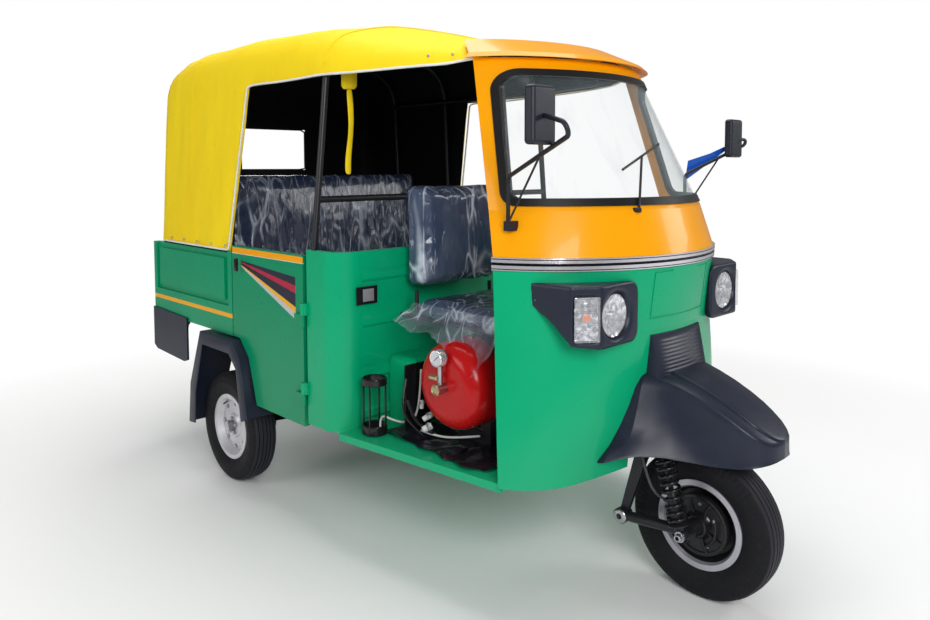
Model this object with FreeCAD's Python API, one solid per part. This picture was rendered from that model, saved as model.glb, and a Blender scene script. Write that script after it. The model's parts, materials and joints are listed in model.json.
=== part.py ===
import FreeCAD, Part
import math
import os

# Auto rickshaw, in millimetres. +X is the vehicle's left, forward is -Y and Z is up from the ground.

# Overall layout
overall_length = 2900.0
front_overhang = 250.0
wheelbase = 1905.0
rear_track = 1262.0
running_gap = 0.3
seat_gap = 0.3
cut_overrun = 40.0
door_gap = 8.0

# Wheels
tyre_diameter = 480.0
tyre_width = 118.0
tyre_bulge_low_share = 0.35
tyre_bulge_high_share = 0.62
tread_width = 88.0
tread_crown = 7.0
rim_diameter = 286.0
rim_width = 84.0
rim_wall = 5.0
rim_well_depth = 22.0
rim_dish_depth = 26.0
hub_radius = 46.0
front_drum_radius = 92.0
front_drum_depth = 36.0
front_axle_radius = 10.0
rim_hole_count = 8
rim_hole_radius = 11.0
rim_hole_circle = 96.0
half_shaft_radius = 14.0

# Floor, bulkhead and the side of the body
floor_top = 430.0
floor_sheet = 12.0
sill_height = 26.0
body_half_width = 695.0
cab_floor_front_half_width = 606.0
bulkhead_setback = 1050.0
bulkhead_thickness = 28.0
bulkhead_top = 1080.0
swage_depth = 9.0
swage_width = 46.0
swage_height_shares = (0.07, 0.30, 0.60, 0.86)
pillar_radius = 95.0
pillar_run = 95.0
pillar_sheet = 26.0
step_up_setback = 1600.0
load_floor_top = 690.0
body_rear_inset = 10.0

# Doors
door_bottom = 400.0
door_top = 1056.0
door_thickness = 26.0
door_front_setback = 1272.0
door_rear_setback = 1820.0
door_skin_depth = 7.0
door_border = 26.0
hinge_pin_radius = 5.0
hinge_knuckle_radius = 9.5
hinge_knuckle_length = 44.0
hinge_leaf = 3.0
hinge_standoff = 1.5
hinge_height_shares = (0.2, 0.66)
pin_clearance = 0.05
knuckle_gap = 0.4

# Side panels, corner posts and tailgate
side_panel_bottom = 662.0
side_panel_top = 1020.0
side_panel_thickness = 30.0
side_post_width = 34.0
side_box_depth = 12.0
side_box_low_share = 0.42
side_box_high_share = 0.93
tailgate_thickness = 28.0
tailgate_bottom = 700.0
tailgate_side_gap = 6.0
tailgate_pin_radius = 7.0

# Front cowl: plan curves at its foot and at the belt
cowl_bottom = 420.0
belt_height = 1110.0
cowl_wall = 18.0
cowl_foot_half_width = 617.0
cowl_foot_front = 165.0
cowl_foot_rear = 346.0
cowl_foot_bulge = 2300.0
cowl_foot_corner = 280.0
cowl_belt_half_width = 560.0
cowl_belt_front = 70.0
cowl_belt_rear = 420.0
cowl_belt_bulge = 645.0
cowl_rounding = 2
cowl_belt_corner = 480.0
cowl_level_count = 5
fork_notch_half_width = 190.0
fork_notch_top = 700.0
nose_press_half_width = 165.0
nose_press_depth = 3.0
nose_press_line = 7.0
nose_press_low = 905.0
nose_press_high = 1060.0
belt_strip_height = 16.0
belt_strip_gap = 8.0
belt_strip_depth = 7.0

# Upper cowl, windscreen and visor
glass_foot_height = 1250.0
glass_foot_half_width = 520.0
glass_foot_front = 112.0
glass_foot_rear = 475.0
glass_foot_bulge = 580.0
glass_foot_corner = 400.0
roof_line_height = 1745.0
roof_half_width = 455.0
roof_front = 385.0
roof_rear = 607.0
roof_bulge = 650.0
roof_corner = 300.0
upper_wall = 20.0
screen_pillar_depth = 46.0
screen_low_gap = 14.0
screen_header = 38.0
screen_corner_radius = 60.0
seal_width = 24.0
seal_proud = 6.0
seal_inner = 16.0
glass_thickness = 5.0
glass_inset = 4.0
visor_lip = 34.0
visor_low = 16.0
visor_height = 74.0
visor_gap = 0.5
visor_setback = 160.0
visor_sheet = 5.0

# Canvas hood as arched sections along the vehicle, from its front edge to its rear face
hood_bottom = 1030.0
hood_half_width = 697.0
hood_sheet = 8.0
hood_setbacks = (575.0, 850.0, 1215.0, 1500.0, 2050.0, 2460.0, 2568.0, 2612.0, 2627.0)
hood_eave_halves = (452.0, 560.0, 634.0, 650.0, 652.0, 648.0, 636.0, 613.0, 566.0)
hood_foot_halves = (500.0, 610.0, 668.0, 694.0, 695.0, 692.0, 678.0, 655.0, 600.0)
hood_crown_heights = (1828.0, 1885.0, 1962.0, 2002.0, 2015.0, 2003.0, 1968.0, 1900.0, 1815.0)
hood_shoulder_drops = (62.0, 82.0, 98.0, 98.0, 102.0, 102.0, 98.0, 92.0, 82.0)
hood_side_share = 0.62
hood_shoulder_share = 0.58
hood_shoulder_rise_share = 0.85
hood_crown_share = 0.25
hood_eave_height = 1732.0
hood_opening_rear_low = 1850.0
hood_opening_rear_high = 1722.0
hood_opening_front = 700.0
rear_window_half_width = 205.0
rear_window_low = 1380.0
rear_window_high = 1610.0

# Hood frame
frame_tube_radius = 12.5
pole_setback = 1215.0
pole_foot_x = 682.0
grab_bar_height = 1268.0
pole_top_x = 617.0
hoop_foot_x = 664.0
bow_bend = 190.0
last_hoop_setback = 2310.0
frame_clearance = 6.0
hoop_bend = 900.0

# Headlamp bezels: pods that stand forward of the cowl, with a turned face for the indicator
bezel_low = 846.0
bezel_high = 1038.0
bezel_inner_x = 228.0
bezel_front = 112.0
bezel_bend_x = 421.0
bezel_face_length = 96.0
bezel_tip_x = 512.0
bezel_tip_setback = 328.0
bezel_tip_low = 976.0
bezel_sweep_setback = 245.0
bezel_sweep_low = 926.0
bezel_corner = 38.0
lamp_radius = 67.0
lamp_x = 345.0
lamp_height = 940.0
lamp_pocket = 12.0
lamp_dish = 12.0
lamp_dome = 9.0
indicator_width = 78.0
indicator_height = 134.0
indicator_turn = 36.0
indicator_corner = 12.0

# Front mudguard and its ribbed bridge, as sections along the vehicle
guard_tip = 250.0
guard_sheet = 5.0
guard_rear_half_width = 330.0
guard_rear_rim = 462.0
guard_rear_ridge = 752.0
guard_tip_half_width = 112.0
guard_tip_rim = 512.0
guard_tip_ridge = 560.0
guard_ridge_rear_x = 158.0
guard_ridge_tip_x = 108.0
guard_crown = 9.0
guard_strip_half_width = 62.0
guard_strip_edge = 7.0
guard_nose_radius = 134.0
guard_flank_out_share = 0.40
guard_flank_down_share = 0.64
guard_rear_setback = 190.0
bridge_half_width = 152.0
bridge_top = 862.0
bridge_foot = 735.0
bridge_foot_front = 62.0
bridge_rib_count = 7
bridge_rib_depth = 5.0

# Steering
rake_deg = 20.0
steer_ground_setback = -60.0
stem_radius = 19.0
head_tube_radius = 30.0
head_tube_low = 660.0
head_tube_high = 960.0
stem_low = 545.0
stem_high = 1060.0
handlebar_radius = 11.0
handlebar_half_width = 270.0
handlebar_pull_back = 120.0
handlebar_rise = 30.0
grip_radius = 17.0
grip_length = 115.0
link_pivot_setback = 238.0
link_pivot_height = 216.0
link_plane_x = 98.0
fork_leg_width = 54.0
fork_leg_thickness = 16.0
fork_crown_drop = 34.0
link_radius = 17.0
link_eye_radius = 26.0
brake_plate_radius = 98.0
brake_plate_thickness = 9.0
damper_top_setback = 78.0
damper_top_height = 505.0
damper_bottom_height = 262.0
damper_body_radius = 15.0
spring_radius = 33.0
spring_wire = 5.5
spring_turns = 8
hose_radius = 4.5
hose_trim_share = 0.45
hose_route = ((0.0, 190.6, 529.9), (0.0, 174.0, 487.0), (0.0, 159.5, 434.0), (0.0, 146.0, 386.0),
              (0.0, 126.0, 346.0), (0.071, 110.0, 326.2), (0.229, 91.3, 312.4), (0.467, 75.8, 303.6),
              (0.741, 68.1, 300.3), (1.0, 68.1, 300.3))

# Driver's place
driver_seat_centre = -205.0
driver_seat_width = 440.0
driver_cushion_front = 450.0
driver_cushion_overhang = 35.0
driver_cushion_rear = 930.0
driver_cushion_top = 905.0
driver_cushion_thickness = 70.0
driver_back_front = 900.0
driver_back_low = 925.0
driver_back_high = 1335.0
driver_back_thickness = 125.0
cushion_corner = 34.0
seat_tube_radius = 11.0
tank_radius = 150.0
tank_left_x = 250.0
tank_right_x = -560.0
tank_setback = 640.0
tank_height = 655.0
tank_end = 60.0
tank_strap_width = 34.0
tank_strap_sheet = 4.0
gauge_radius = 28.0
valve_radius = 17.0
dash_recess = 90.0
dash_depth = 150.0
dash_drop = 130.0
bracket_plate_width = 120.0
bracket_plate_height = 250.0
cage_radius = 47.0
cage_height = 205.0
cage_edge_inset = 95.0
cage_setback = 962.0
cage_sheet = 4.0
cage_rim = 18.0
cage_slot_count = 4
tool_box_width = 175.0
tool_box_depth = 150.0
tool_box_height = 250.0

# Passenger bench
bench_half_width = 600.0
bench_front = 1560.0
bench_rear = 2010.0
bench_base_top = 800.0
bench_cushion_thickness = 110.0
bench_back_high = 1375.0
bench_back_thickness = 110.0
bench_back_lean = 70.0

# Chassis and running gear
rail_half_spacing = 290.0
rail_width = 46.0
rail_depth = 56.0
rail_front_setback = 300.0
rail_kick_start = 1625.0
rail_kick_end = 1745.0
cross_member_setbacks = (420.0, 960.0, 1440.0, 1760.0)
rear_member_inset = 124.0
engine_length = 460.0
engine_width = 420.0
engine_height = 330.0
engine_low = 245.0
engine_setback = 1930.0
muffler_radius = 75.0
muffler_length = 520.0
muffler_setback = 2330.0
muffler_height = 480.0
arm_pivot_setback = 1520.0
arm_pivot_height = 372.0
arm_width = 60.0
arm_depth = 52.0
arm_x = 470.0
rear_drum_radius = 100.0
rear_spring_radius = 48.0
rear_spring_wire = 9.0
rear_spring_turns = 6
shaft_gap = 6.0

# Rear mudguards, flaps and side mud plates
arch_sheet = 5.0
arch_flare = 42.0
arch_inner = 150.0
arch_stay_width = 30.0
arch_band = 62.0
arch_crest_height = 655.0
arch_crest_rear = 2058.0
arch_crest_front = 1775.0
arch_bend_setback = 1703.0
arch_bend_height = 593.0
arch_front_setback = 1640.0
arch_front_height = 345.0
arch_rear_setback = 2165.0
arch_rear_height = 400.0
flap_setback = 2186.0
flap_height = 208.0
mud_plate_front = 2262.0
mud_plate_rear = 2640.0
mud_plate_low = 478.0
mud_plate_high = 690.0
mud_plate_sheet = 9.0
tail_lamp_radius = 38.0
tail_lamp_depth = 34.0
tail_lamp_height = 600.0
tail_lamp_x = 560.0
tow_hole_radius = 11.0
tow_plate_thickness = 14.0
tow_plate_width = 90.0
tow_plate_length = 80.0

# Mirrors and wiper
mirror_tube_radius = 6.5
mirror_foot_x = 530.0
mirror_foot_setback = 384.0
mirror_foot_height = 1190.0
mirror_bend_height = 1355.0
mirror_bracket_width = 26.0
mirror_bracket_height = 30.0
mirror_elbow_x = 798.0
right_elbow_setback = -84.0
right_elbow_height = 1477.0
right_head_x = 740.0
right_head_setback = 80.0
right_head_height = 1517.0
left_elbow_setback = 235.0
left_elbow_height = 1490.0
left_head_x = 705.0
left_head_setback = 262.0
left_head_height = 1499.0
mirror_head_width = 96.0
mirror_head_tall = 152.0
mirror_head_depth = 34.0
wiper_arm_radius = 4.0
wiper_stand_off = 13.0
wiper_pivot_x = 200.0
wiper_top_x = 85.0
wiper_top_height = 1420.0
wiper_blade_right_x = 193.0
wiper_blade_right_height = 1376.0
wiper_blade_left_x = 50.0
wiper_blade_left_height = 1462.0

# Values that follow from the sizes above
front_axle_y = front_overhang - overall_length / 2
rear_axle_y = front_axle_y + wheelbase
wheel_radius = tyre_diameter / 2
rear_wheel_x = rear_track / 2
body_rear_y = overall_length / 2 - body_rear_inset
rake = math.radians(rake_deg)
rail_low = floor_top - floor_sheet - rail_depth - seat_gap
rail_high = load_floor_top - floor_sheet - rail_depth - seat_gap


def vec(x, y, z):
    return FreeCAD.Vector(x, y, z)


def back(setback):
    """Y of a point that lies this far behind the front axle."""
    return front_axle_y + setback


def box(x_low, x_high, y_low, y_high, z_low, z_high):
    return Part.makeBox(x_high - x_low, y_high - y_low, z_high - z_low, vec(x_low, y_low, z_low))


def rod(start, end, radius):
    along = end - start
    return Part.makeCylinder(radius, along.Length, start, along)


def mirrored(shape):
    return shape.mirror(vec(0, 0, 0), vec(1, 0, 0))


def both_sides(shape):
    return Part.makeCompound([shape, mirrored(shape)])


def fused(shapes):
    return shapes[0].multiFuse(shapes[1:]).removeSplitter()


def save(node, shape):
    shape.exportStep("parts/" + node + ".step")


def side_prism(points, x_low, x_high):
    """A closed outline in (Y, Z), extruded across the vehicle."""
    corners = [vec(x_low, y, z) for y, z in points]
    face = Part.Face(Part.makePolygon(corners + corners[:1]))
    return face.extrude(vec(x_high - x_low, 0, 0))


def plan_prism(points, z_low, z_high):
    """A closed outline in (X, Y), extruded upwards."""
    corners = [vec(x, y, z_low) for x, y in points]
    face = Part.Face(Part.makePolygon(corners + corners[:1]))
    return face.extrude(vec(0, 0, z_high - z_low))


def path_wire(points, bend):
    """Straight runs joined by tangent arcs."""
    edges = []
    start = points[0]
    for before, corner, after in zip(points, points[1:], points[2:]):
        arrive = (corner - before).normalize()
        leave = (after - corner).normalize()
        half_turn = arrive.getAngle(leave) / 2
        room = min((corner - before).Length, (after - corner).Length) / 2
        trim = min(bend * math.tan(half_turn), room)
        radius = trim / math.tan(half_turn)
        arc_start = corner - arrive * trim
        arc_end = corner + leave * trim
        inward = (leave - arrive).normalize()
        middle = corner + inward * (radius / math.cos(half_turn) - radius)
        if (arc_start - start).Length > running_gap:
            edges.append(Part.LineSegment(start, arc_start).toShape())
        edges.append(Part.Arc(arc_start, middle, arc_end).toShape())
        start = arc_end
    edges.append(Part.LineSegment(start, points[-1]).toShape())
    return Part.Wire(edges)


def bent_tube(points, radius, bend):
    profile = Part.Wire(Part.makeCircle(radius, points[0], points[1] - points[0]))
    return path_wire(points, bend).makePipeShell([profile], True, False)


def soft_box(x_low, x_high, y_low, y_high, z_low, z_high, corner):
    block = box(x_low, x_high, y_low, y_high, z_low, z_high)
    return block.makeFillet(corner, block.Edges)


def turned(points, centre, axis_x):
    """Revolve an outline in (along X, radius) about the wheel's own X axis."""
    corners = [vec(axis_x + along, centre.y, centre.z + radius) for along, radius in points]
    face = Part.Face(Part.makePolygon(corners + corners[:1]))
    return face.revolve(vec(axis_x, centre.y, centre.z), vec(1, 0, 0), 360)


# Plan curves of the cab


def cab_curve(half_width, front, rear, bulge, corner, level, inset, run_on):
    """The cab's outline at one height: a front arc, two corner arcs and a closed rear."""
    front_y = back(front)
    rear_y = back(rear)
    bulge_y = front_y + bulge
    reach = bulge - corner
    span = math.hypot(half_width, rear_y - bulge_y)
    along = (reach ** 2 - corner ** 2 + span ** 2) / (2 * span)
    across = math.sqrt(reach ** 2 - along ** 2)
    unit_x = half_width / span
    unit_y = (rear_y - bulge_y) / span
    corner_x = unit_x * along + unit_y * across
    corner_y = bulge_y + unit_y * along - unit_x * across
    join_x = corner_x * bulge / reach
    join_y = bulge_y + (corner_y - bulge_y) * bulge / reach
    radius = corner - inset
    toward_x = (join_x - corner_x) / corner
    toward_y = (join_y - corner_y) / corner
    start = vec(corner_x + toward_x * radius, corner_y + toward_y * radius, level)
    end_x = corner_x + math.sqrt(radius ** 2 - (rear_y - corner_y) ** 2)
    finish = vec(end_x, rear_y, level)
    halfway = (start + finish) / 2 - vec(corner_x, corner_y, level)
    middle = vec(corner_x, corner_y, level) + halfway.normalize() * radius
    nose = vec(0, front_y + inset, level)
    flip = lambda p: vec(-p.x, p.y, p.z)
    edges = [
        Part.Arc(finish, middle, start).toShape(),
        Part.Arc(start, nose, flip(start)).toShape(),
        Part.Arc(flip(start), flip(middle), flip(finish)).toShape(),
    ]
    tail = finish + vec(0, run_on, 0)
    if run_on > 0:
        edges.append(Part.LineSegment(flip(finish), flip(tail)).toShape())
        edges.append(Part.LineSegment(flip(tail), tail).toShape())
        edges.append(Part.LineSegment(tail, finish).toShape())
    else:
        edges.append(Part.LineSegment(flip(finish), finish).toShape())
    return Part.Wire(edges)


def mix(low, high, share):
    return low + (high - low) * share


def cowl_curve(level, inset, run_on):
    share = min(max((level - cowl_bottom) / (belt_height - cowl_bottom), 0), 1)
    round_share = 1 - (1 - share) ** cowl_rounding
    rear = mix(cowl_foot_rear, cowl_belt_rear, share)
    return cab_curve(
        mix(cowl_foot_half_width, cowl_belt_half_width, share),
        mix(cowl_foot_front, cowl_belt_front, share),
        rear,
        mix(cowl_foot_bulge, cowl_belt_bulge, round_share),
        mix(cowl_foot_corner, cowl_belt_corner, round_share),
        level, inset, run_on)


def cowl_skin(inset):
    """The cowl's whole filled form, set in from its outside or out from it."""
    count = cowl_level_count
    levels = [mix(cowl_bottom, belt_height, index / (count - 1)) for index in range(count)]
    return Part.makeLoft([cowl_curve(level, inset, 0.0) for level in levels], True, False)


def cowl_cavity(inset):
    """The space inside the cowl, open at the foot, the belt and the rear."""
    count = cowl_level_count
    levels = [mix(cowl_bottom, belt_height, index / (count - 1)) for index in range(count)]
    levels = [cowl_bottom - cut_overrun] + levels + [belt_height + cut_overrun]
    return Part.makeLoft([cowl_curve(level, inset, cut_overrun) for level in levels], True, False)


def slice_between(shape, z_low, z_high):
    reach = cowl_foot_half_width + cut_overrun
    slab = box(-reach, reach, back(-cut_overrun), back(cowl_belt_rear + 2 * cut_overrun), z_low, z_high)
    return shape.common(slab)


def upper_curve(level, inset, run_on):
    share = (level - glass_foot_height) / (roof_line_height - glass_foot_height)
    return cab_curve(
        mix(glass_foot_half_width, roof_half_width, share),
        mix(glass_foot_front, roof_front, share),
        mix(glass_foot_rear, roof_rear, share),
        mix(glass_foot_bulge, roof_bulge, share),
        mix(glass_foot_corner, roof_corner, share),
        level, inset, run_on)


def upper_body(z_low, z_high, inset, run_on=0.0):
    return Part.makeLoft([upper_curve(level, inset, run_on) for level in (z_low, z_high)], True, True)


def upper_band(inset, run_on=0.0):
    """The filled form between the belt and the foot of the screen."""
    wires = [belt_curve(inset, run_on), upper_curve(glass_foot_height, inset, run_on)]
    return Part.makeLoft(wires, True, True)


def screen_point(x, level, stand_off):
    """A point that stands this far off the screen's front arc."""
    share = (level - glass_foot_height) / (roof_line_height - glass_foot_height)
    bulge = mix(glass_foot_bulge, roof_bulge, share)
    centre_y = back(mix(glass_foot_front, roof_front, share)) + bulge
    return vec(x, centre_y - math.sqrt((bulge + stand_off) ** 2 - x ** 2), level)


def belt_curve(inset, run_on):
    return cab_curve(cowl_belt_half_width, cowl_belt_front, cowl_belt_rear, cowl_belt_bulge,
                     cowl_belt_corner, belt_height + seat_gap, inset, run_on)


def front_cowl():
    shell = cowl_skin(0.0)
    hollow = cowl_cavity(cowl_wall)
    notch = box(-fork_notch_half_width, fork_notch_half_width, back(-cut_overrun),
                back(cowl_belt_rear + cut_overrun), cowl_bottom - cut_overrun, fork_notch_top)
    shell = shell.cut(hollow).cut(notch)
    return shell.cut(nose_lines())


def nose_lines():
    """The pressed line that frames the bare centre of the nose."""
    middle = (nose_press_low + nose_press_high) / 2
    outer = box(-nose_press_half_width, nose_press_half_width, back(0), back(cowl_foot_rear),
                nose_press_low, nose_press_high)
    rim = nose_press_line
    inner = box(rim - nose_press_half_width, nose_press_half_width - rim, back(0), back(cowl_foot_rear),
                nose_press_low + rim, nose_press_high - rim)
    skin = cowl_skin(nose_press_depth)
    gap = box(-nose_press_half_width / 2, nose_press_half_width / 2, back(0), back(cowl_foot_rear),
              middle, nose_press_high + rim)
    return outer.cut(inner).cut(skin).cut(gap)


def belt_trim():
    """Two bright strips round the cowl, one above the other on a dark backing."""
    depth = belt_strip_depth
    low = belt_height - 2 * belt_strip_height - belt_strip_gap
    ring = cowl_skin(-depth).cut(cowl_skin(-seat_gap))
    groove = slice_between(ring.cut(cowl_skin(-depth / 2)), low + belt_strip_height,
                           belt_height - belt_strip_height)
    return slice_between(ring, low, belt_height).cut(groove)


def upper_cowl():
    """Orange band over the belt, the two windscreen pillars and the header."""
    foot = glass_foot_height
    frame = upper_body(foot, roof_line_height, 0.0)
    hollow = upper_body(foot, roof_line_height, upper_wall, cut_overrun)
    frame = frame.cut(hollow).cut(screen_region(0.0))
    band = upper_band(0.0).cut(upper_band(upper_wall, cut_overrun))
    return band.fuse(frame).removeSplitter()


def screen_region(shrink):
    """The block that the windscreen's opening fills, smaller by shrink all round."""
    low = glass_foot_height + screen_low_gap + shrink
    high = roof_line_height - screen_header - shrink
    slope = (roof_rear - glass_foot_rear) / (roof_line_height - glass_foot_height)
    back_off = screen_pillar_depth + shrink * math.hypot(1, slope)
    low_rear = glass_foot_rear + (low - glass_foot_height) * slope - back_off
    high_rear = glass_foot_rear + (high - glass_foot_height) * slope - back_off
    reach = cowl_belt_half_width + cut_overrun
    front = back(-cut_overrun)
    points = [vec(-reach, front, low), vec(-reach, back(low_rear), low), vec(-reach, back(high_rear), high),
              vec(-reach, front, high)]
    wire = path_wire(points, screen_corner_radius - shrink)
    closing = Part.LineSegment(points[-1], points[0]).toShape()
    return Part.Face(Part.Wire(wire.Edges + [closing])).extrude(vec(2 * reach, 0, 0))


def screen_sheet(region, outer_inset, inner_inset):
    low = glass_foot_height
    high = roof_line_height
    outer = upper_body(low, high, outer_inset)
    inner = upper_body(low, high, inner_inset, cut_overrun)
    return region.common(outer).cut(inner)


def windscreen_seal():
    ring = screen_sheet(screen_region(seat_gap), -seal_proud, seal_inner)
    return ring.cut(screen_region(seal_width))


def windscreen_glass():
    return screen_sheet(screen_region(seal_width + seat_gap), glass_inset, glass_inset + glass_thickness)


def visor_solid(grow):
    """The visor's filled form, a shallow dome with a lip over the screen."""
    low = roof_line_height + seat_gap
    top = low + visor_height + grow
    lip = upper_curve(roof_line_height, -visor_lip - grow, 0.0)
    lip.translate(vec(0, 0, low - roof_line_height - grow))
    brow = upper_curve(roof_line_height, -visor_lip / 2 - grow, 0.0)
    brow.translate(vec(0, 0, low - roof_line_height + visor_low + grow))
    crown = upper_curve(roof_line_height, visor_lip - grow, 0.0)
    crown.translate(vec(0, visor_setback / 2, top - roof_line_height))
    return Part.makeLoft([lip, brow, crown], True, True)


def roof_visor():
    shell = visor_solid(0.0)
    inner = visor_solid(-visor_sheet)
    inner.translate(vec(0, visor_sheet, -visor_sheet))
    return shell.cut(inner)


# Bodywork behind the cab


def cab_floor():
    """Floor sheet that widens rearwards, with a lip turned down along both sills."""
    front = back(cowl_foot_rear) + running_gap
    rear = back(bulkhead_setback) - seat_gap
    corner_x = cab_floor_front_half_width
    outline = [(-corner_x, front), (corner_x, front), (body_half_width, rear), (-body_half_width, rear)]
    sheet = plan_prism(outline, floor_top - floor_sheet, floor_top)
    lip = plan_prism([(corner_x - floor_sheet, front), (corner_x, front), (body_half_width, rear),
                      (body_half_width - floor_sheet, rear)], floor_top - sill_height, floor_top)
    down_tube = rod(*down_tube_ends(), head_tube_radius * 3 / 4 + running_gap)
    return fused([sheet, lip, mirrored(lip)]).cut(down_tube).cut(cowl_skin(-seat_gap))


def swage(x_low, x_high, y, height, depth):
    """A pressed ridge along X with sloped flanks, standing forward of the panel."""
    half = swage_width / 2
    points = [(y, height - half), (y - depth, height - half / 2), (y - depth, height + half / 2),
              (y, height + half)]
    return side_prism(points, x_low, x_high)


def bulkhead():
    front = back(bulkhead_setback)
    half = body_half_width - pillar_radius - running_gap
    low = floor_top - floor_sheet
    shapes = [box(-half, half, front, front + bulkhead_thickness, low, bulkhead_top)]
    reach = half - swage_width / 4
    for share in swage_height_shares:
        height = mix(floor_top, bulkhead_top, share)
        if height + swage_width / 2 > bulkhead_top:
            height = bulkhead_top - swage_width / 2
        shapes.append(swage(-reach, reach, front, height, swage_depth))
    return fused(shapes)


def corner_post():
    """The rounded post between the bulkhead and the right door."""
    low = floor_top - floor_sheet
    front = back(bulkhead_setback)
    outer_x = -body_half_width
    turn_x = outer_x + pillar_radius
    turn_y = front + pillar_radius
    rear = back(door_front_setback) - 2 * door_gap - hinge_knuckle_radius
    half = math.sqrt(0.5)
    inner = pillar_radius - pillar_sheet
    top = vec(0, 0, bulkhead_top - low)
    points = [vec(outer_x, rear, low), vec(outer_x, turn_y, low), vec(turn_x, front, low),
              vec(turn_x, front + pillar_sheet, low), vec(outer_x + pillar_sheet, turn_y, low),
              vec(outer_x + pillar_sheet, rear, low)]
    outer_mid = vec(turn_x - pillar_radius * half, turn_y - pillar_radius * half, low)
    inner_mid = vec(turn_x - inner * half, turn_y - inner * half, low)
    edges = [
        Part.LineSegment(points[0], points[1]).toShape(),
        Part.Arc(points[1], outer_mid, points[2]).toShape(),
        Part.LineSegment(points[2], points[3]).toShape(),
        Part.Arc(points[3], inner_mid, points[4]).toShape(),
        Part.LineSegment(points[4], points[5]).toShape(),
        Part.LineSegment(points[5], points[0]).toShape(),
    ]
    post = Part.Face(Part.Wire(edges)).extrude(top)
    return fused([post] + hinge_pillar_sides(rear))


def hinge_axis():
    """Where the right door's pins stand."""
    x = -body_half_width - hinge_knuckle_radius - hinge_standoff
    y = back(door_front_setback) - door_gap - hinge_knuckle_radius / 2
    return x, y


def hinge_levels():
    return [mix(door_bottom, door_top, share) for share in hinge_height_shares]


def hinge_pillar_sides(post_rear):
    """Fixed halves of the right door's hinges: a leaf, a knuckle above and a pin."""
    x, y = hinge_axis()
    shapes = []
    for height in hinge_levels():
        upper = height + knuckle_gap
        top = height + hinge_knuckle_length
        knuckle = Part.makeCylinder(hinge_knuckle_radius, top - upper, vec(x, y, upper))
        pin_low = height - hinge_knuckle_length
        pin = Part.makeCylinder(hinge_pin_radius, upper - pin_low, vec(x, y, pin_low))
        leaf = box(x - hinge_leaf / 2, -body_half_width + hinge_leaf, post_rear - hinge_knuckle_radius,
                   y, upper, top)
        shapes += [knuckle, pin, leaf]
    return shapes


def door():
    """Right door: a pressed tray with a border, cut round the wheel arch, with its hinge halves."""
    outer = -body_half_width
    inner = outer + door_thickness
    front = back(door_front_setback)
    rear = back(door_rear_setback)
    arch = door_gap
    outline = [
        (front, door_bottom), (front, door_top), (rear, door_top),
        (rear, arch_crest_height + arch), (back(arch_crest_front) - arch, arch_crest_height + arch),
        (back(arch_bend_setback) - arch, arch_bend_height), (back(arch_front_setback) - arch, door_bottom),
    ]
    panel = side_prism(outline, outer, inner)
    x, y = hinge_axis()
    border = door_border
    tray = box(outer + door_thickness - door_skin_depth, inner + cut_overrun,
               front + border, back(arch_front_setback) - border - arch, door_bottom + border,
               door_top - border)
    shapes = [panel.cut(tray)]
    for height in hinge_levels():
        low = height - hinge_knuckle_length
        knuckle = Part.makeCylinder(hinge_knuckle_radius, height - low, vec(x, y, low))
        leaf = box(x - hinge_leaf / 2, outer + hinge_leaf, y, front + hinge_knuckle_length, low, height)
        shapes += [knuckle, leaf]
    body = fused(shapes)
    bore = Part.makeCylinder(hinge_pin_radius + pin_clearance, door_top, vec(x, y, 0))
    return body.cut(bore)


def side_panel():
    """Right side panel behind the door: a boxed pressing between two posts."""
    outer = -body_half_width
    inner = outer + side_panel_thickness
    front = back(door_rear_setback) + door_gap
    rear = body_rear_y
    low = side_panel_bottom
    shapes = [
        box(outer + side_box_depth, inner, front, rear, low, side_panel_top),
        box(outer, inner, front, front + side_post_width, low, hood_bottom - seat_gap),
        box(outer, inner, rear - side_post_width, rear, low, hood_bottom - door_gap),
    ]
    height = side_panel_top - low
    box_low = low + side_box_low_share * height
    box_high = low + side_box_high_share * height
    slope = side_box_depth
    face = [(front + 2 * side_post_width, box_low), (front + 2 * side_post_width, box_high),
            (rear - 2 * side_post_width, box_high), (rear - 2 * side_post_width, box_low)]
    pressing = side_prism(face, outer, outer + slope)
    foot = box(outer, outer + slope, front, rear, low, box_low - 2 * slope)
    return fused(shapes + [pressing, foot])


def rear_floor():
    """Low passenger floor, a riser in front of the wheels and the load floor over the engine."""
    half = body_half_width - side_panel_thickness - running_gap
    front = back(bulkhead_setback) + bulkhead_thickness + seat_gap
    step = back(step_up_setback)
    rear = body_rear_y - tailgate_thickness - tailgate_side_gap
    t = floor_sheet
    outline = [(front, floor_top - t), (front, floor_top), (step, floor_top), (step, load_floor_top),
               (rear, load_floor_top), (rear, load_floor_top - t), (step + t, load_floor_top - t),
               (step + t, floor_top - t)]
    low_half = half - pillar_radius
    floor = side_prism(outline, -half, half)
    corner_cut = box(low_half, half + cut_overrun, front - cut_overrun, front + pillar_radius + pillar_run,
                     floor_top - cut_overrun, floor_top + cut_overrun)
    return floor.cut(corner_cut).cut(mirrored(corner_cut))


def tailgate():
    """Rear board, hinged at its foot on two pins."""
    half = body_half_width - side_panel_thickness - tailgate_side_gap
    outer = body_rear_y
    inner = outer - tailgate_thickness
    board = box(-half, half, inner, outer, tailgate_bottom, side_panel_top)
    rib_low = mix(tailgate_bottom, side_panel_top, side_box_low_share)
    rib_high = mix(tailgate_bottom, side_panel_top, side_box_high_share)
    tray = box(2 * side_post_width - half, half - 2 * side_post_width, outer - side_box_depth,
               outer + cut_overrun, rib_low, rib_high)
    board = board.cut(tray)
    pin_y = outer - tailgate_thickness / 2
    pin_z = tailgate_bottom + tailgate_thickness / 2
    reach = half + tailgate_side_gap - running_gap
    pins = rod(vec(-reach, pin_y, pin_z), vec(reach, pin_y, pin_z), tailgate_pin_radius)
    return board.fuse(pins).removeSplitter()


# Hood and its frame


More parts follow.
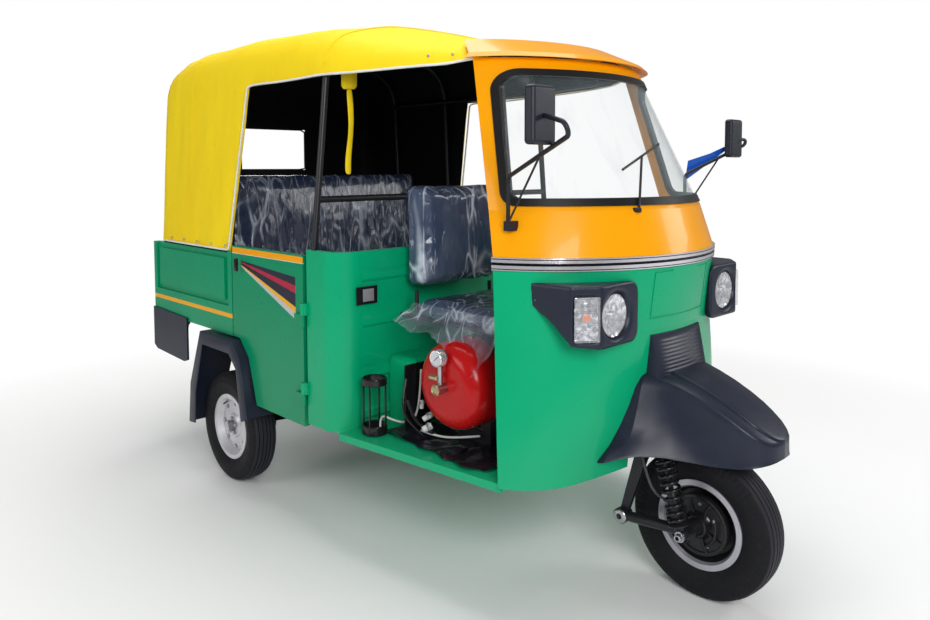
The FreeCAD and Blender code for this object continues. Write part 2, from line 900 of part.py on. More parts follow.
def hood_sizes(setback):
    """The hood's foot, eave, crown and shoulder drop at one place along it."""
    places = list(zip(hood_setbacks, hood_foot_halves, hood_eave_halves, hood_crown_heights,
                      hood_shoulder_drops))
    index = max(i for i in range(len(places) - 1) if places[i][0] <= setback or i == 0)
    near, far = places[index], places[index + 1]
    along = (setback - near[0]) / (far[0] - near[0])
    return [mix(a, b, along) for a, b in zip(near[1:], far[1:])]


def hood_poles(setback, shrink, low, foot_half=None):
    """Control points of half an arch, from its foot to the crown, set in from the canvas."""
    foot, eave, crown, drop = hood_sizes(setback)
    y = back(setback)
    foot = foot - shrink if foot_half is None else foot_half
    eave -= shrink
    crown -= shrink
    eave_z = crown - drop
    turn_z = mix(hood_bottom, eave_z, hood_side_share)
    return [vec(foot, y, low), vec(mix(foot, eave, hood_side_share), y, turn_z), vec(eave, y, eave_z),
            vec(eave * hood_shoulder_share, y, mix(eave_z, crown, hood_shoulder_rise_share)),
            vec(eave * hood_crown_share, y, crown)]


def arch_curve(half_poles):
    """A smooth curve over mirrored control points."""
    poles = half_poles + [vec(-p.x, p.y, p.z) for p in half_poles[::-1]]
    count = len(poles)
    arch = Part.BSplineCurve()
    arch.buildFromPolesMultsKnots(poles, [3] + [1] * (count - 3) + [3], list(range(count - 1)), False, 2)
    return arch


def hood_section(index, shrink, shift):
    """One arch of the hood, closed along its foot."""
    low = hood_bottom - cut_overrun * shrink / hood_sheet
    poles = hood_poles(hood_setbacks[index], shrink, low)
    poles = [p + vec(0, shift, 0) for p in poles]
    flipped = vec(-poles[0].x, poles[0].y, poles[0].z)
    return Part.Wire([arch_curve(poles).toShape(), Part.LineSegment(flipped, poles[0]).toShape()])


def hood_solid(shrink):
    """The hood's filled form; set in, it runs out of the front and stops short of the rear face."""
    last = len(hood_setbacks) - 1
    wires = []
    for index in range(last + 1):
        shift = -cut_overrun * shrink / hood_sheet if index == 0 else 0.0
        wires.append(hood_section(index, shrink, -shrink if index == last else shift))
    return Part.makeLoft(wires, True, True)


def hood_half(setback, height):
    """Half the hood's width at one place along it and one height, found by halving."""
    arch = arch_curve(hood_poles(setback, 0.0, hood_bottom))
    low = arch.FirstParameter
    high = (arch.FirstParameter + arch.LastParameter) / 2
    for step in range(20):
        middle = (low + high) / 2
        if arch.value(middle).z < height:
            low = middle
        else:
            high = middle
    return arch.value(low).x


def hood():
    shell = hood_solid(0.0).cut(hood_solid(hood_sheet))
    reach = hood_half_width + cut_overrun
    front = back(hood_setbacks[0] - cut_overrun)
    opening = side_prism([
        (front, hood_bottom - cut_overrun), (front, roof_line_height),
        (back(roof_rear), roof_line_height), (back(hood_opening_front), hood_eave_height),
        (back(hood_opening_rear_high), hood_eave_height), (back(hood_opening_rear_low), hood_bottom),
        (back(hood_opening_rear_low), hood_bottom - cut_overrun)], -reach, reach)
    shell = shell.cut(opening).cut(visor_solid(seat_gap))
    for shift in (vec(0, 0, 0), vec(0, visor_gap, 0), vec(0, 0, visor_gap)):
        visor = visor_solid(0.0)
        visor.translate(shift)
        shell = shell.cut(visor)
    half = rear_window_half_width
    window = box(-half, half, back(hood_opening_rear_low), body_rear_y + cut_overrun,
                 rear_window_low, rear_window_high)
    return shell.cut(window)


def hoop(setback, foot_x, foot_z):
    """One hoop of tube across the vehicle, bent like the canvas that it carries."""
    room = hood_sheet + frame_tube_radius + frame_clearance
    half = hood_poles(setback, room, foot_z - frame_tube_radius, foot_x)[:-1]
    crown = vec(0, back(setback), hood_sizes(setback)[2] - room)
    flipped = [vec(-p.x, p.y, p.z) for p in half]
    tube = bent_tube(half + [crown] + flipped[::-1], frame_tube_radius, hoop_bend)
    reach = foot_x + 2 * frame_tube_radius
    under = box(-reach, reach, back(setback) - reach, back(setback) + reach, foot_z - reach, foot_z)
    return tube.cut(under)


def hood_frame():
    """Two poles with a hoop over them, two rear hoops, two cant rails and the grab bar."""
    room = hood_sheet + 2 * frame_tube_radius + frame_clearance
    rear_setback = hood_opening_rear_low + side_post_width
    shapes = [hoop(pole_setback, pole_foot_x, bulkhead_top + running_gap)]
    for setback in (rear_setback, last_hoop_setback):
        shapes.append(hoop(setback, hoop_foot_x, side_panel_top + running_gap))
    rail_z = hood_eave_height + frame_tube_radius
    places = [roof_rear + visor_setback, pole_setback, rear_setback, last_hoop_setback]
    for side in (-1, 1):
        points = [vec(side * (hood_half(at, rail_z) - room), back(at), rail_z) for at in places]
        shapes.append(bent_tube(points, frame_tube_radius, bow_bend))
    share = (grab_bar_height - bulkhead_top) / (hood_eave_height - bulkhead_top)
    bar_x = mix(pole_foot_x, pole_top_x, share)
    pole_y = back(pole_setback)
    shapes.append(rod(vec(-bar_x, pole_y, grab_bar_height), vec(bar_x, pole_y, grab_bar_height),
                      frame_tube_radius))
    return fused(shapes)


# Front lamps, mudguard, mirrors and wiper


def bezel_face_end():
    """Outer end of the turned face, as (X, Y)."""
    turn = math.radians(indicator_turn)
    return (bezel_bend_x + bezel_face_length * math.cos(turn),
            back(bezel_front) + bezel_face_length * math.sin(turn))


def bezel_block():
    """Right bezel before its lamps, as its plan, side and front outlines bound it."""
    front = back(bezel_front)
    rear = back(cowl_foot_rear)
    end_x, end_y = bezel_face_end()
    plan = [(-bezel_inner_x, front), (-bezel_bend_x, front), (-end_x, end_y),
            (-bezel_tip_x, back(bezel_tip_setback)), (-bezel_tip_x, rear), (-bezel_inner_x, rear)]
    side = [(front, bezel_high), (rear, bezel_high), (rear, bezel_tip_low),
            (back(bezel_tip_setback), bezel_tip_low), (back(bezel_sweep_setback), bezel_sweep_low),
            (end_y, bezel_low + lamp_dish), (front, bezel_low)]
    reach = bezel_tip_x + cut_overrun
    block = plan_prism(plan, bezel_low, bezel_high)
    block = block.common(side_prism(side, -reach, 0))
    corners = [vec(-reach, front, bezel_high), vec(-bezel_inner_x, front, bezel_high),
               vec(-bezel_inner_x, front, bezel_low), vec(-reach, front, bezel_low)]
    wire = path_wire(corners, bezel_corner)
    closing = Part.LineSegment(corners[-1], corners[0]).toShape()
    outline = Part.Face(Part.Wire(wire.Edges + [closing])).extrude(vec(0, rear - front, 0))
    return block.common(outline).cut(cowl_skin(-seat_gap))


def lamp_seat(grow):
    """The round lamp's place, behind its dish."""
    front = back(bezel_front) + lamp_dish
    return Part.makeCylinder(lamp_radius + grow, lamp_pocket + grow, vec(-lamp_x, front, lamp_height),
                             vec(0, 1, 0))


def lamp_bowl():
    """The dish round the lamp, wider at the bezel's face."""
    return Part.makeCone(lamp_radius + lamp_dish, lamp_radius + seat_gap, lamp_dish,
                         vec(-lamp_x, back(bezel_front), lamp_height), vec(0, 1, 0))


def indicator_seat(grow, depth):
    """The indicator's place on the turned face beside the lamp."""
    end_x, end_y = bezel_face_end()
    half = indicator_width / 2 + grow
    tall = indicator_height / 2 + grow
    block = box(-half, half, -depth, lamp_pocket + grow, lamp_height - tall, lamp_height + tall)
    along = [edge for edge in block.Edges if abs(edge.tangentAt(edge.FirstParameter).y) > 1 / 2]
    block = block.makeFillet(indicator_corner, along)
    block.rotate(vec(0, 0, 0), vec(0, 0, 1), -indicator_turn)
    block.translate(vec(-(bezel_bend_x + end_x) / 2, (back(bezel_front) + end_y) / 2, 0))
    return block


def headlamp_bezel():
    block = bezel_block().cut(lamp_bowl()).cut(lamp_seat(seat_gap))
    return block.cut(indicator_seat(seat_gap, lamp_pocket))


def lamp_lenses():
    """Round lens with a domed face and the indicator's flat-faced lens."""
    front = back(bezel_front) + lamp_dish
    disc = lamp_seat(0.0)
    dome_radius = (lamp_radius ** 2 + lamp_dome ** 2) / (2 * lamp_dome)
    ball = Part.makeSphere(dome_radius, vec(-lamp_x, front - lamp_dome + dome_radius, lamp_height))
    drum = Part.makeCylinder(lamp_radius, lamp_dome, vec(-lamp_x, front - lamp_dome, lamp_height),
                             vec(0, 1, 0))
    lens = disc.fuse(ball.common(drum)).removeSplitter()
    indicator = indicator_seat(0.0, lamp_dome / 2)
    return Part.makeCompound([lens, indicator, mirrored(lens), mirrored(indicator)])


def guard_wire(share, shrink):
    """A section of the front mudguard: hollowed, flared sides and a raised strip on top."""
    y = mix(back(guard_rear_setback), back(-guard_tip), share)
    flare = (1 - share) ** 2
    half = mix(guard_tip_half_width, guard_rear_half_width, flare) - shrink
    rim = mix(guard_tip_rim, guard_rear_rim, flare) - (cut_overrun if shrink else 0.0)
    ridge = mix(guard_tip_ridge, guard_rear_ridge, 1 - share) - shrink
    ridge_x = mix(guard_ridge_tip_x, guard_ridge_rear_x, 1 - share) - shrink
    if shrink and share == 1:
        y -= cut_overrun
    if shrink and share == 0:
        y += cut_overrun
    flank_x = mix(ridge_x, half, guard_flank_out_share)
    flank_z = mix(ridge, rim, guard_flank_down_share)
    strip_x = guard_strip_half_width - shrink
    right = [vec(half, y, rim), vec(flank_x, y, flank_z), vec(ridge_x, y, ridge),
             vec(strip_x + guard_strip_edge, y, ridge), vec(strip_x, y, ridge + guard_crown)]
    left = [vec(-point.x, point.y, point.z) for point in reversed(right)]
    return Part.makePolygon(right + left + right[:1])


def guard_solid(shrink):
    """The mudguard's outer form, or its hollow, with the round nose seen from above."""
    shares = (0.0, 1 / 3, 2 / 3, 1.0)
    form = Part.makeLoft([guard_wire(share, shrink) for share in shares], True, False)
    nose_centre = back(-guard_tip) + guard_nose_radius
    low = guard_rear_rim - 2 * cut_overrun
    high = guard_rear_ridge + guard_crown + 2 * cut_overrun
    nose = Part.makeCylinder(guard_nose_radius - shrink, high - low, vec(0, nose_centre, low))
    rest = box(-guard_rear_half_width - cut_overrun, guard_rear_half_width + cut_overrun, nose_centre,
               back(guard_rear_setback) + 2 * cut_overrun, low, high)
    return form.common(nose.fuse(rest))


def front_mudguard():
    return guard_solid(0.0).cut(guard_solid(guard_sheet)).cut(cowl_skin(-seat_gap))


def mudguard_bridge():
    """Ribbed block that carries the mudguard's rear edge up to the nose."""
    top = bridge_top
    foot = bridge_foot + guard_crown + guard_sheet
    front_foot = back(bridge_foot_front)
    front_top = back(bridge_foot_front) + (top - foot) / 2
    rear = back(cowl_foot_rear)
    pitch = (top - foot) / bridge_rib_count
    points = [(front_foot, foot)]
    for index in range(bridge_rib_count):
        z = foot + index * pitch
        y = mix(front_foot, front_top, index / bridge_rib_count)
        step = mix(front_foot, front_top, (index + 1 / 2) / bridge_rib_count)
        points.append((y, z + pitch / 2))
        points.append((step + bridge_rib_depth, z + pitch / 2))
        points.append((step + bridge_rib_depth, z + pitch))
    points += [(front_top, top), (rear, top), (rear, foot)]
    block = side_prism(points, -bridge_half_width, bridge_half_width)
    return block.cut(cowl_skin(-seat_gap)).cut(guard_solid(-seat_gap))


def mirror(side, elbow, head):
    """One mirror: a bracket on the cab's side, a bent arm, a stay and the head."""
    foot = vec(side * mirror_foot_x, back(mirror_foot_setback), mirror_foot_height)
    knee = vec(foot.x, foot.y, mirror_bend_height)
    arm = bent_tube([foot, knee, elbow, head], mirror_tube_radius, 4 * mirror_tube_radius)
    half = mirror_head_width / 2
    tall = mirror_head_tall / 2
    shell = soft_box(-half, half, 0, mirror_head_depth, -tall, tall, mirror_head_depth / 3)
    shell.translate(head - vec(0, mirror_head_depth / 4, 0))
    stay = rod(foot + vec(0, mirror_tube_radius, 2 * mirror_tube_radius), (knee + elbow) / 2,
               mirror_tube_radius / 2)
    wide = mirror_bracket_width / 2
    tall = mirror_bracket_height
    inward = foot - vec(side * 2 * wide, 0, 0)
    bracket = box(min(foot.x, inward.x) - mirror_tube_radius, max(foot.x, inward.x) + mirror_tube_radius,
                  foot.y - wide, foot.y + wide, foot.z, foot.z + tall)
    return fused([arm, shell, stay, bracket.cut(upper_band(-seat_gap))])


def mirrors():
    right = mirror(-1, vec(-mirror_elbow_x, back(right_elbow_setback), right_elbow_height),
                   vec(-right_head_x, back(right_head_setback), right_head_height))
    left = mirror(1, vec(mirror_elbow_x, back(left_elbow_setback), left_elbow_height),
                  vec(left_head_x, back(left_head_setback), left_head_height))
    return Part.makeCompound([right, left])


def wiper():
    """Arm and blade, parked on the outside of the screen."""
    off = wiper_stand_off
    foot = screen_point(-wiper_pivot_x, glass_foot_height, off)
    top = screen_point(-wiper_top_x, wiper_top_height, off)
    blade = rod(screen_point(-wiper_blade_right_x, wiper_blade_right_height, off),
                screen_point(wiper_blade_left_x, wiper_blade_left_height, off), wiper_arm_radius)
    spindle = rod(foot - vec(0, wiper_arm_radius, 0), foot + vec(0, 2 * off, 0), 2 * wiper_arm_radius)
    spindle = spindle.cut(upper_band(-seat_gap)).cut(upper_body(glass_foot_height, roof_line_height, -seat_gap))
    return fused([rod(foot, top, wiper_arm_radius), blade, spindle])


# Seats and what stands in the cab


def driver_cushion():
    half = driver_seat_width / 2
    return soft_box(driver_seat_centre - half - driver_cushion_overhang, driver_seat_centre + half,
                    back(driver_cushion_front), back(driver_cushion_rear),
                    driver_cushion_top - driver_cushion_thickness, driver_cushion_top, cushion_corner)


def driver_back():
    half = driver_seat_width / 2
    return soft_box(driver_seat_centre - half, driver_seat_centre + half, back(driver_back_front),
                    back(driver_back_front + driver_back_thickness), driver_back_low, driver_back_high,
                    cushion_corner)


def seat_frame():
    """Four legs with rails under the cushion, and two stays up to the back."""
    half = driver_seat_width / 2 - 2 * seat_tube_radius
    r = seat_tube_radius
    top = driver_cushion_top - driver_cushion_thickness - seat_gap - r / 2
    front = back(driver_cushion_front) + r
    rear = back(driver_cushion_rear) + 2 * r
    wall = back(bulkhead_setback) - swage_depth - seat_gap
    shapes = []
    for side in (-1, 1):
        x = driver_seat_centre + side * half
        shapes.append(rod(vec(x, front, floor_top + seat_gap), vec(x, front, top), r))
        shapes.append(rod(vec(x, rear, top), vec(x, rear, driver_back_low - seat_gap), r * 3 / 4))
        shapes.append(rod(vec(x, front - r / 2, top - r / 4), vec(x, wall, top - r / 4), r * 3 / 4))
    left = driver_seat_centre - half
    right = driver_seat_centre + half
    for y in (front, rear):
        shapes.append(rod(vec(left - r / 2, y, top), vec(right + r / 2, y, top), r * 2 / 3))
    return fused(shapes)


def gas_tank():
    """Round tank with domed ends, lying across under the driver."""
    centre_y = back(tank_setback)
    long = tank_left_x - tank_right_x
    tank = Part.makeCylinder(tank_radius, long, vec(tank_right_x, centre_y, tank_height), vec(1, 0, 0))
    ends = [edge for edge in tank.Edges if edge.Closed and edge.Length > tank_radius]
    return tank.makeFillet(tank_end, ends)


def tank_cradle():
    """Two straps round the tank on a pair of feet."""
    centre_y = back(tank_setback)
    shapes = []
    for share in (1 / 5, 4 / 5):
        x = mix(tank_right_x, tank_left_x, share) - tank_strap_width / 2
        ring = Part.makeCylinder(tank_radius + tank_strap_sheet, tank_strap_width,
                                 vec(x, centre_y, tank_height), vec(1, 0, 0))
        foot = box(x, x + tank_strap_width, centre_y - tank_radius / 2, centre_y + tank_radius / 2,
                   floor_top + seat_gap, tank_height)
        bore = Part.makeCylinder(tank_radius + running_gap, tank_strap_width + 2 * cut_overrun,
                                 vec(x - cut_overrun, centre_y, tank_height), vec(1, 0, 0))
        shapes.append(ring.fuse(foot).removeSplitter().cut(bore))
    return Part.makeCompound(shapes)


def tank_valve():
    """Valve body and gauge on the tank's right end."""
    centre_y = back(tank_setback)
    x = tank_right_x - seat_gap
    body = rod(vec(x, centre_y, tank_height), vec(x - 2 * valve_radius, centre_y, tank_height), valve_radius)
    riser = rod(vec(x - valve_radius, centre_y, tank_height),
                vec(x - valve_radius, centre_y, tank_height + 3 * gauge_radius), valve_radius / 2)
    gauge = rod(vec(x - valve_radius / 2, centre_y, tank_height + 4 * gauge_radius - valve_radius / 2),
                vec(x - 2 * valve_radius, centre_y, tank_height + 4 * gauge_radius - valve_radius / 2),
                gauge_radius)
    return fused([body, riser, gauge])


def dashboard():
    """Shelf across the cab behind the cowl's top edge."""
    gap = cowl_wall + seat_gap
    top = belt_height - dash_recess
    block = cowl_cavity(gap)
    keep = box(-cowl_belt_half_width, cowl_belt_half_width, back(0), back(cowl_foot_rear - dash_depth / 4),
               top - dash_drop, top)
    block = block.common(keep)
    inner = slice_between(cowl_cavity(gap + cowl_wall), cowl_bottom, top - cowl_wall)
    relief = box(-handlebar_half_width / 3, handlebar_half_width / 3, back(cowl_belt_front + dash_depth / 2),
                 back(cowl_foot_rear), top - dash_drop - cut_overrun, top + cut_overrun)
    return block.cut(inner).cut(relief)


def bottle_cage():
    """A slotted cup for a bottle, standing on the right sill."""
    low = floor_top + seat_gap
    cage_x = cage_edge_inset - body_half_width
    centre = vec(cage_x, back(cage_setback), low)
    cup = Part.makeCylinder(cage_radius, cage_height, centre)
    hollow = Part.makeCylinder(cage_radius - cage_sheet, cage_height, centre + vec(0, 0, cage_sheet))
    cup = cup.cut(hollow)
    slot = box(-cage_rim / 2, cage_rim / 2, -cage_radius - cage_sheet, cage_radius + cage_sheet,
               low + cage_rim, low + cage_height - cage_rim)
    for index in range(cage_slot_count):
        turned_slot = slot.copy()
        turned_slot.rotate(vec(0, 0, 0), vec(0, 0, 1), 180 * index / cage_slot_count)
        turned_slot.translate(vec(cage_x, back(cage_setback), 0))
        cup = cup.cut(turned_slot)
    return cup


def equipment():
    """Bracket plate in front of the tank's end and the covered box beside the bulkhead."""
    low = floor_top + seat_gap
    plate_x = tank_right_x + tank_end / 2
    rear = back(bulkhead_setback) - swage_depth - running_gap
    front = rear - tool_box_depth
    centre = cage_edge_inset - body_half_width + cage_radius + tool_box_width
    cover = box(centre - tool_box_width / 2, centre + tool_box_width / 2, front, rear, low,
                low + tool_box_height)
    top_edge = [edge for edge in cover.Edges
                if edge.CenterOfMass.z > low + tool_box_height / 2 and edge.CenterOfMass.y < rear - 1 / 2]
    cover = cover.makeFillet(cushion_corner, top_edge)
    plate_y = back(driver_cushion_rear) - tank_end
    plate = box(plate_x, plate_x + bracket_plate_width, plate_y, plate_y + valve_radius / 2, low,
                low + bracket_plate_height)
    return Part.makeCompound([cover, plate])


def bench_cushion():
    low = bench_base_top + seat_gap
    return soft_box(-bench_half_width, bench_half_width, back(bench_front), back(bench_rear), low,
                    low + bench_cushion_thickness, cushion_corner)


def bench_back():
    """Leaning back of the bench, behind the cushion and on the same base."""
    front = back(bench_rear) + seat_gap
    low = bench_base_top + seat_gap
    lean = bench_back_lean
    t = bench_back_thickness
    outline = [(front, low), (front + lean, bench_back_high), (front + lean + t, bench_back_high),
               (front + t, low)]
    block = side_prism(outline, -bench_half_width, bench_half_width)
    return block.makeFillet(cushion_corner, block.Edges)


def bench_base():
    """Box under the bench, on the load floor."""
    t = floor_sheet
    front = back(step_up_setback)
    rear = back(bench_rear) + bench_back_thickness
    low = load_floor_top + seat_gap
    block = box(-bench_half_width, bench_half_width, front, rear, low, bench_base_top)
    hollow = box(t - bench_half_width, bench_half_width - t, front + t, rear - t, low - cut_overrun,
                 bench_base_top - t)
    return block.cut(hollow)


# Chassis and running gear


def steer_point(height):
    """A point on the steering axis."""
    return vec(0, back(steer_ground_setback) + height * math.tan(rake), height)


def down_tube_ends():
    """From the middle of the head tube down to the first cross member."""
    neck = (steer_point(head_tube_low) + steer_point(head_tube_high)) / 2
    knee = vec(0, back(cross_member_setbacks[0]), rail_low + rail_depth / 2)
    return neck + vec(0, head_tube_radius / 2, 0), knee


def chassis():
    """Two kicked-up rails with cross members, the head tube, its down tube and the tow plate."""
    start = back(rail_front_setback)
    kick_low = back(rail_kick_start)
    kick_high = back(rail_kick_end)
    end = body_rear_y - tailgate_thickness - 2 * tailgate_side_gap
    outline = [(start, rail_low), (kick_low, rail_low), (kick_high, rail_high), (end, rail_high),
               (end, rail_high + rail_depth), (kick_high, rail_high + rail_depth),
               (kick_low, rail_low + rail_depth), (start, rail_low + rail_depth)]
    shapes = []
    for side in (-1, 1):
        x = side * rail_half_spacing
        shapes.append(side_prism(outline, x - rail_width / 2, x + rail_width / 2))
    rear_member = end - rear_member_inset
    for y in [back(setback) for setback in cross_member_setbacks] + [rear_member]:
        low = rail_low if y < kick_low else rail_high
        shapes.append(box(-rail_half_spacing, rail_half_spacing, y - rail_width / 2, y + rail_width / 2,
                          low + rail_depth / 4, low + rail_depth * 3 / 4))
    bearer_y = back(cross_member_setbacks[-1])
    for side in (-1, 1):
        x = side * engine_width / 4
        shapes.append(box(x - rail_width / 2, x + rail_width / 2, bearer_y - rail_width / 2,
                          bearer_y + rail_width / 2, engine_low + engine_height + seat_gap,
                          rail_high + rail_depth / 2))
    head_low = steer_point(head_tube_low)
    head_high = steer_point(head_tube_high)
    shapes.append(rod(head_low, head_high, head_tube_radius))
    shapes.append(rod(*down_tube_ends(), head_tube_radius * 3 / 4))
    tow_z = rail_high + rail_depth / 2
    shapes.append(box(-tow_plate_width / 2, tow_plate_width / 2, rear_member, end + tow_plate_length / 2,
                      tow_z - tow_plate_thickness / 2, tow_z + tow_plate_thickness / 2))
    frame = fused(shapes)
    bore = rod(steer_point(head_tube_low - cut_overrun), steer_point(head_tube_high + cut_overrun),
               stem_radius + pin_clearance)
    tow_hole = Part.makeCylinder(tow_hole_radius, tow_plate_thickness + 2 * cut_overrun,
                                 vec(0, end + tow_plate_length / 6, tow_z - cut_overrun))
    return frame.cut(bore).cut(tow_hole)


def engine_block():
    front = back(engine_setback) - engine_length / 2
    block = box(-engine_width / 2, engine_width / 2, front, front + engine_length, engine_low,
                engine_low + engine_height)
    return block.makeFillet(cushion_corner / 2, block.Edges)


def muffler():
    y = back(muffler_setback)
    can = rod(vec(-muffler_length / 2, y, muffler_height), vec(muffler_length / 2, y, muffler_height),
              muffler_radius)
    ends = [edge for edge in can.Edges if edge.Closed and edge.Length > muffler_radius]
    can = can.makeFillet(muffler_radius / 4, ends)
    pipe_start = vec(-muffler_length / 4, back(engine_setback) + engine_length / 2 + seat_gap,
                     muffler_height)
    pipe = rod(pipe_start, vec(-muffler_length / 4, y, muffler_height), muffler_radius / 4)
    return can.fuse(pipe).removeSplitter()


def rear_suspension():
    """Right trailing arm with its brake plate, the spring above it and the pivot on the rail."""
    pivot_y = back(arm_pivot_setback)
    pivot = vec(-arm_x, pivot_y, arm_pivot_height)
    hub = vec(-arm_x, rear_axle_y, wheel_radius)
    half = arm_width / 2
    rise = arm_depth / 2
    outline = [(pivot.y, pivot.z - rise), (pivot.y, pivot.z + rise), (hub.y, hub.z + rise),
               (hub.y + rise, hub.z), (hub.y, hub.z - rise)]
    arm = side_prism(outline, -arm_x - half, -arm_x + half)
    plate_x = -arm_x - half
    plate_end = -rear_wheel_x + rim_width / 2 - running_gap
    plate = rod(vec(plate_x + rise / 2, hub.y, hub.z), vec(plate_end, hub.y, hub.z), rear_drum_radius * 3 / 4)
    pivot_rod = rod(vec(-rail_half_spacing - rail_width / 2 - seat_gap, pivot_y, arm_pivot_height),
                    vec(-arm_x - half, pivot_y, arm_pivot_height), arm_depth / 3)
    seat = (hub + pivot) / 2 + vec(0, 0, rise / 2)
    spring_top = vec(seat.x, seat.y, load_floor_top - floor_sheet - seat_gap)
    bar = rod(seat, spring_top, rear_spring_radius / 3)
    shapes = [arm, plate, pivot_rod, bar]
    pitch = (spring_top.z - seat.z) / (rear_spring_turns + 1)
    for index in range(rear_spring_turns):
        z = seat.z + (index + 1) * pitch
        shapes.append(Part.makeCylinder(rear_spring_radius, rear_spring_wire, vec(seat.x, seat.y, z)))
    arm_all = fused(shapes)
    bore = rod(vec(-arm_x + arm_width, hub.y, hub.z), vec(-rear_wheel_x, hub.y, hub.z),
               half_shaft_radius + running_gap)
    return arm_all.cut(bore)


def tyre(centre_x, centre_y):
    half = tyre_width / 2
    tread = tread_width / 2
    bead = rim_width / 2 - running_gap
    outer = wheel_radius
    inner = rim_diameter / 2 - rim_well_depth / 3
    flange = rim_diameter / 2 + running_gap
    low = mix(inner, outer, tyre_bulge_low_share)
    high = mix(inner, outer, tyre_bulge_high_share)
    section = [
        (-bead, inner), (-bead, flange), (-half, low), (-half, high), (-tread, outer - tread_crown),
        (-tread / 2, outer), (tread / 2, outer), (tread, outer - tread_crown), (half, high), (half, low),
        (bead, flange), (bead, inner),
    ]
    return turned(section, vec(0, centre_y, wheel_radius), centre_x)


def rear_rim():
    """Right rear rim: barrel, dished disc with holes, hub and the half shaft."""
    centre = vec(0, rear_axle_y, wheel_radius)
    half = rim_width / 2
    seat = rim_diameter / 2 - rim_well_depth / 3 - running_gap
    flange = rim_diameter / 2
    well = seat - rim_well_depth
    t = rim_wall
    dish = half - rim_dish_depth
    section = [
        (-half - t, flange), (-half - t, seat - 2 * t), (-half / 2, well - t), (-dish, well - t),
        (-dish - t, hub_radius + 2 * t), (-dish - 3 * t, hub_radius), (-dish - 3 * t, 0),
        (-dish + t, 0), (-dish + t, hub_radius), (-dish + 2 * t, well - 2 * t), (half / 2, well - t),
        (half + t, seat - 2 * t), (half + t, flange), (half, flange), (half, seat),
        (half / 2, well), (-half / 2, well), (-half, seat), (-half, flange),
    ]
    rim = turned(section, centre, -rear_wheel_x)
    for index in range(rim_hole_count):
        angle = 2 * math.pi * index / rim_hole_count
        y = centre.y + rim_hole_circle * math.cos(angle)
        z = centre.z + rim_hole_circle * math.sin(angle)
        rim = rim.cut(rod(vec(-rear_wheel_x - half, y, z), vec(-rear_wheel_x + half, y, z), rim_hole_radius))
    shaft_end = -engine_width / 2 - shaft_gap
    shaft = rod(vec(-rear_wheel_x - dish, centre.y, centre.z), vec(shaft_end, centre.y, centre.z),
                half_shaft_radius)
    return rim.fuse(shaft).removeSplitter()


def front_rim():
    """Front rim: barrel, closed disc on the left, drum on the right and the axle boss."""
    centre = vec(0, front_axle_y, wheel_radius)
    half = rim_width / 2
    seat = rim_diameter / 2 - rim_well_depth / 3 - running_gap
    flange = rim_diameter / 2
    well = seat - rim_well_depth
    t = rim_wall
    section = [
        (-half - t, flange), (-half - t, seat - 2 * t), (-half / 2, well - t), (0, well - t),
        (0, front_drum_radius), (-front_drum_depth, front_drum_radius),
        (-front_drum_depth, front_axle_radius + running_gap), (half - t, front_axle_radius + running_gap),
        (half - t, hub_radius), (t, hub_radius + t), (t, well - t), (half / 2, well - t),
        (half + t, seat - 2 * t), (half + t, flange), (half, flange), (half, seat),
        (half / 2, well), (-half / 2, well), (-half, seat), (-half, flange),
    ]
    return turned(section, centre, 0.0)


def fork():
    """Stem, one-sided leg to the link's pivot, the link, brake plate and axle."""
    r = stem_radius
    stem = rod(steer_point(stem_low), steer_point(stem_high), r)
    side = -link_plane_x
    t = fork_leg_thickness
    crown_y = steer_point(stem_low).y
    crown = box(side - t, r, crown_y - fork_leg_width / 2, crown_y + fork_leg_width / 2,
                stem_low - fork_crown_drop / 2, stem_low + fork_crown_drop / 2)
    pivot_y = back(link_pivot_setback)
    w = fork_leg_width / 2
    leg = side_prism([(crown_y - w, stem_low), (crown_y + w, stem_low), (pivot_y + w / 2, link_pivot_height),
                      (pivot_y - w / 2, link_pivot_height)], side - t, side)
    eye = rod(vec(side - 2 * t, pivot_y, link_pivot_height), vec(side + t / 2, pivot_y, link_pivot_height),
              link_eye_radius)
    shapes = [stem, crown, leg, eye]
    link_x = side - t
    hub = vec(link_x, front_axle_y, wheel_radius)
    shapes.append(rod(vec(link_x, pivot_y, link_pivot_height), hub, link_radius))
    plate_x = -front_drum_depth - seat_gap - brake_plate_thickness
    drum_face = -front_drum_depth - seat_gap
    shapes.append(rod(vec(link_x, hub.y, hub.z), vec(drum_face, hub.y, hub.z), link_eye_radius))
    shapes.append(rod(vec(plate_x, hub.y, hub.z), vec(drum_face, hub.y, hub.z), brake_plate_radius))
    shapes.append(rod(vec(drum_face, hub.y, hub.z), vec(rim_width / 2, hub.y, hub.z), front_axle_radius))
    return fused(shapes)


def front_damper():
    """Damper with its coil, from the link up to the fork's crown."""
    x = -link_plane_x - fork_leg_thickness - link_radius - spring_radius / 3
    low = vec(x, front_axle_y + damper_body_radius, damper_bottom_height)
    high = vec(x, back(damper_top_setback), damper_top_height)
    along = high - low
    face_x = -link_plane_x - fork_leg_thickness - seat_gap
    eye = vec(x, front_axle_y, wheel_radius)
    shapes = [rod(low, high, damper_body_radius), rod(eye, low, damper_body_radius * 2 / 3)]
    shapes.append(rod(eye - vec(damper_body_radius, 0, 0), vec(face_x - link_radius, eye.y, eye.z),
                      damper_body_radius))
    shapes.append(rod(high - vec(damper_body_radius, 0, 0), vec(face_x, high.y, high.z),
                      damper_body_radius))
    for index in range(spring_turns):
        at = low + along * ((index + 1) / (spring_turns + 1))
        shapes.append(Part.makeCylinder(spring_radius, spring_wire, at, along))
    return fused(shapes)


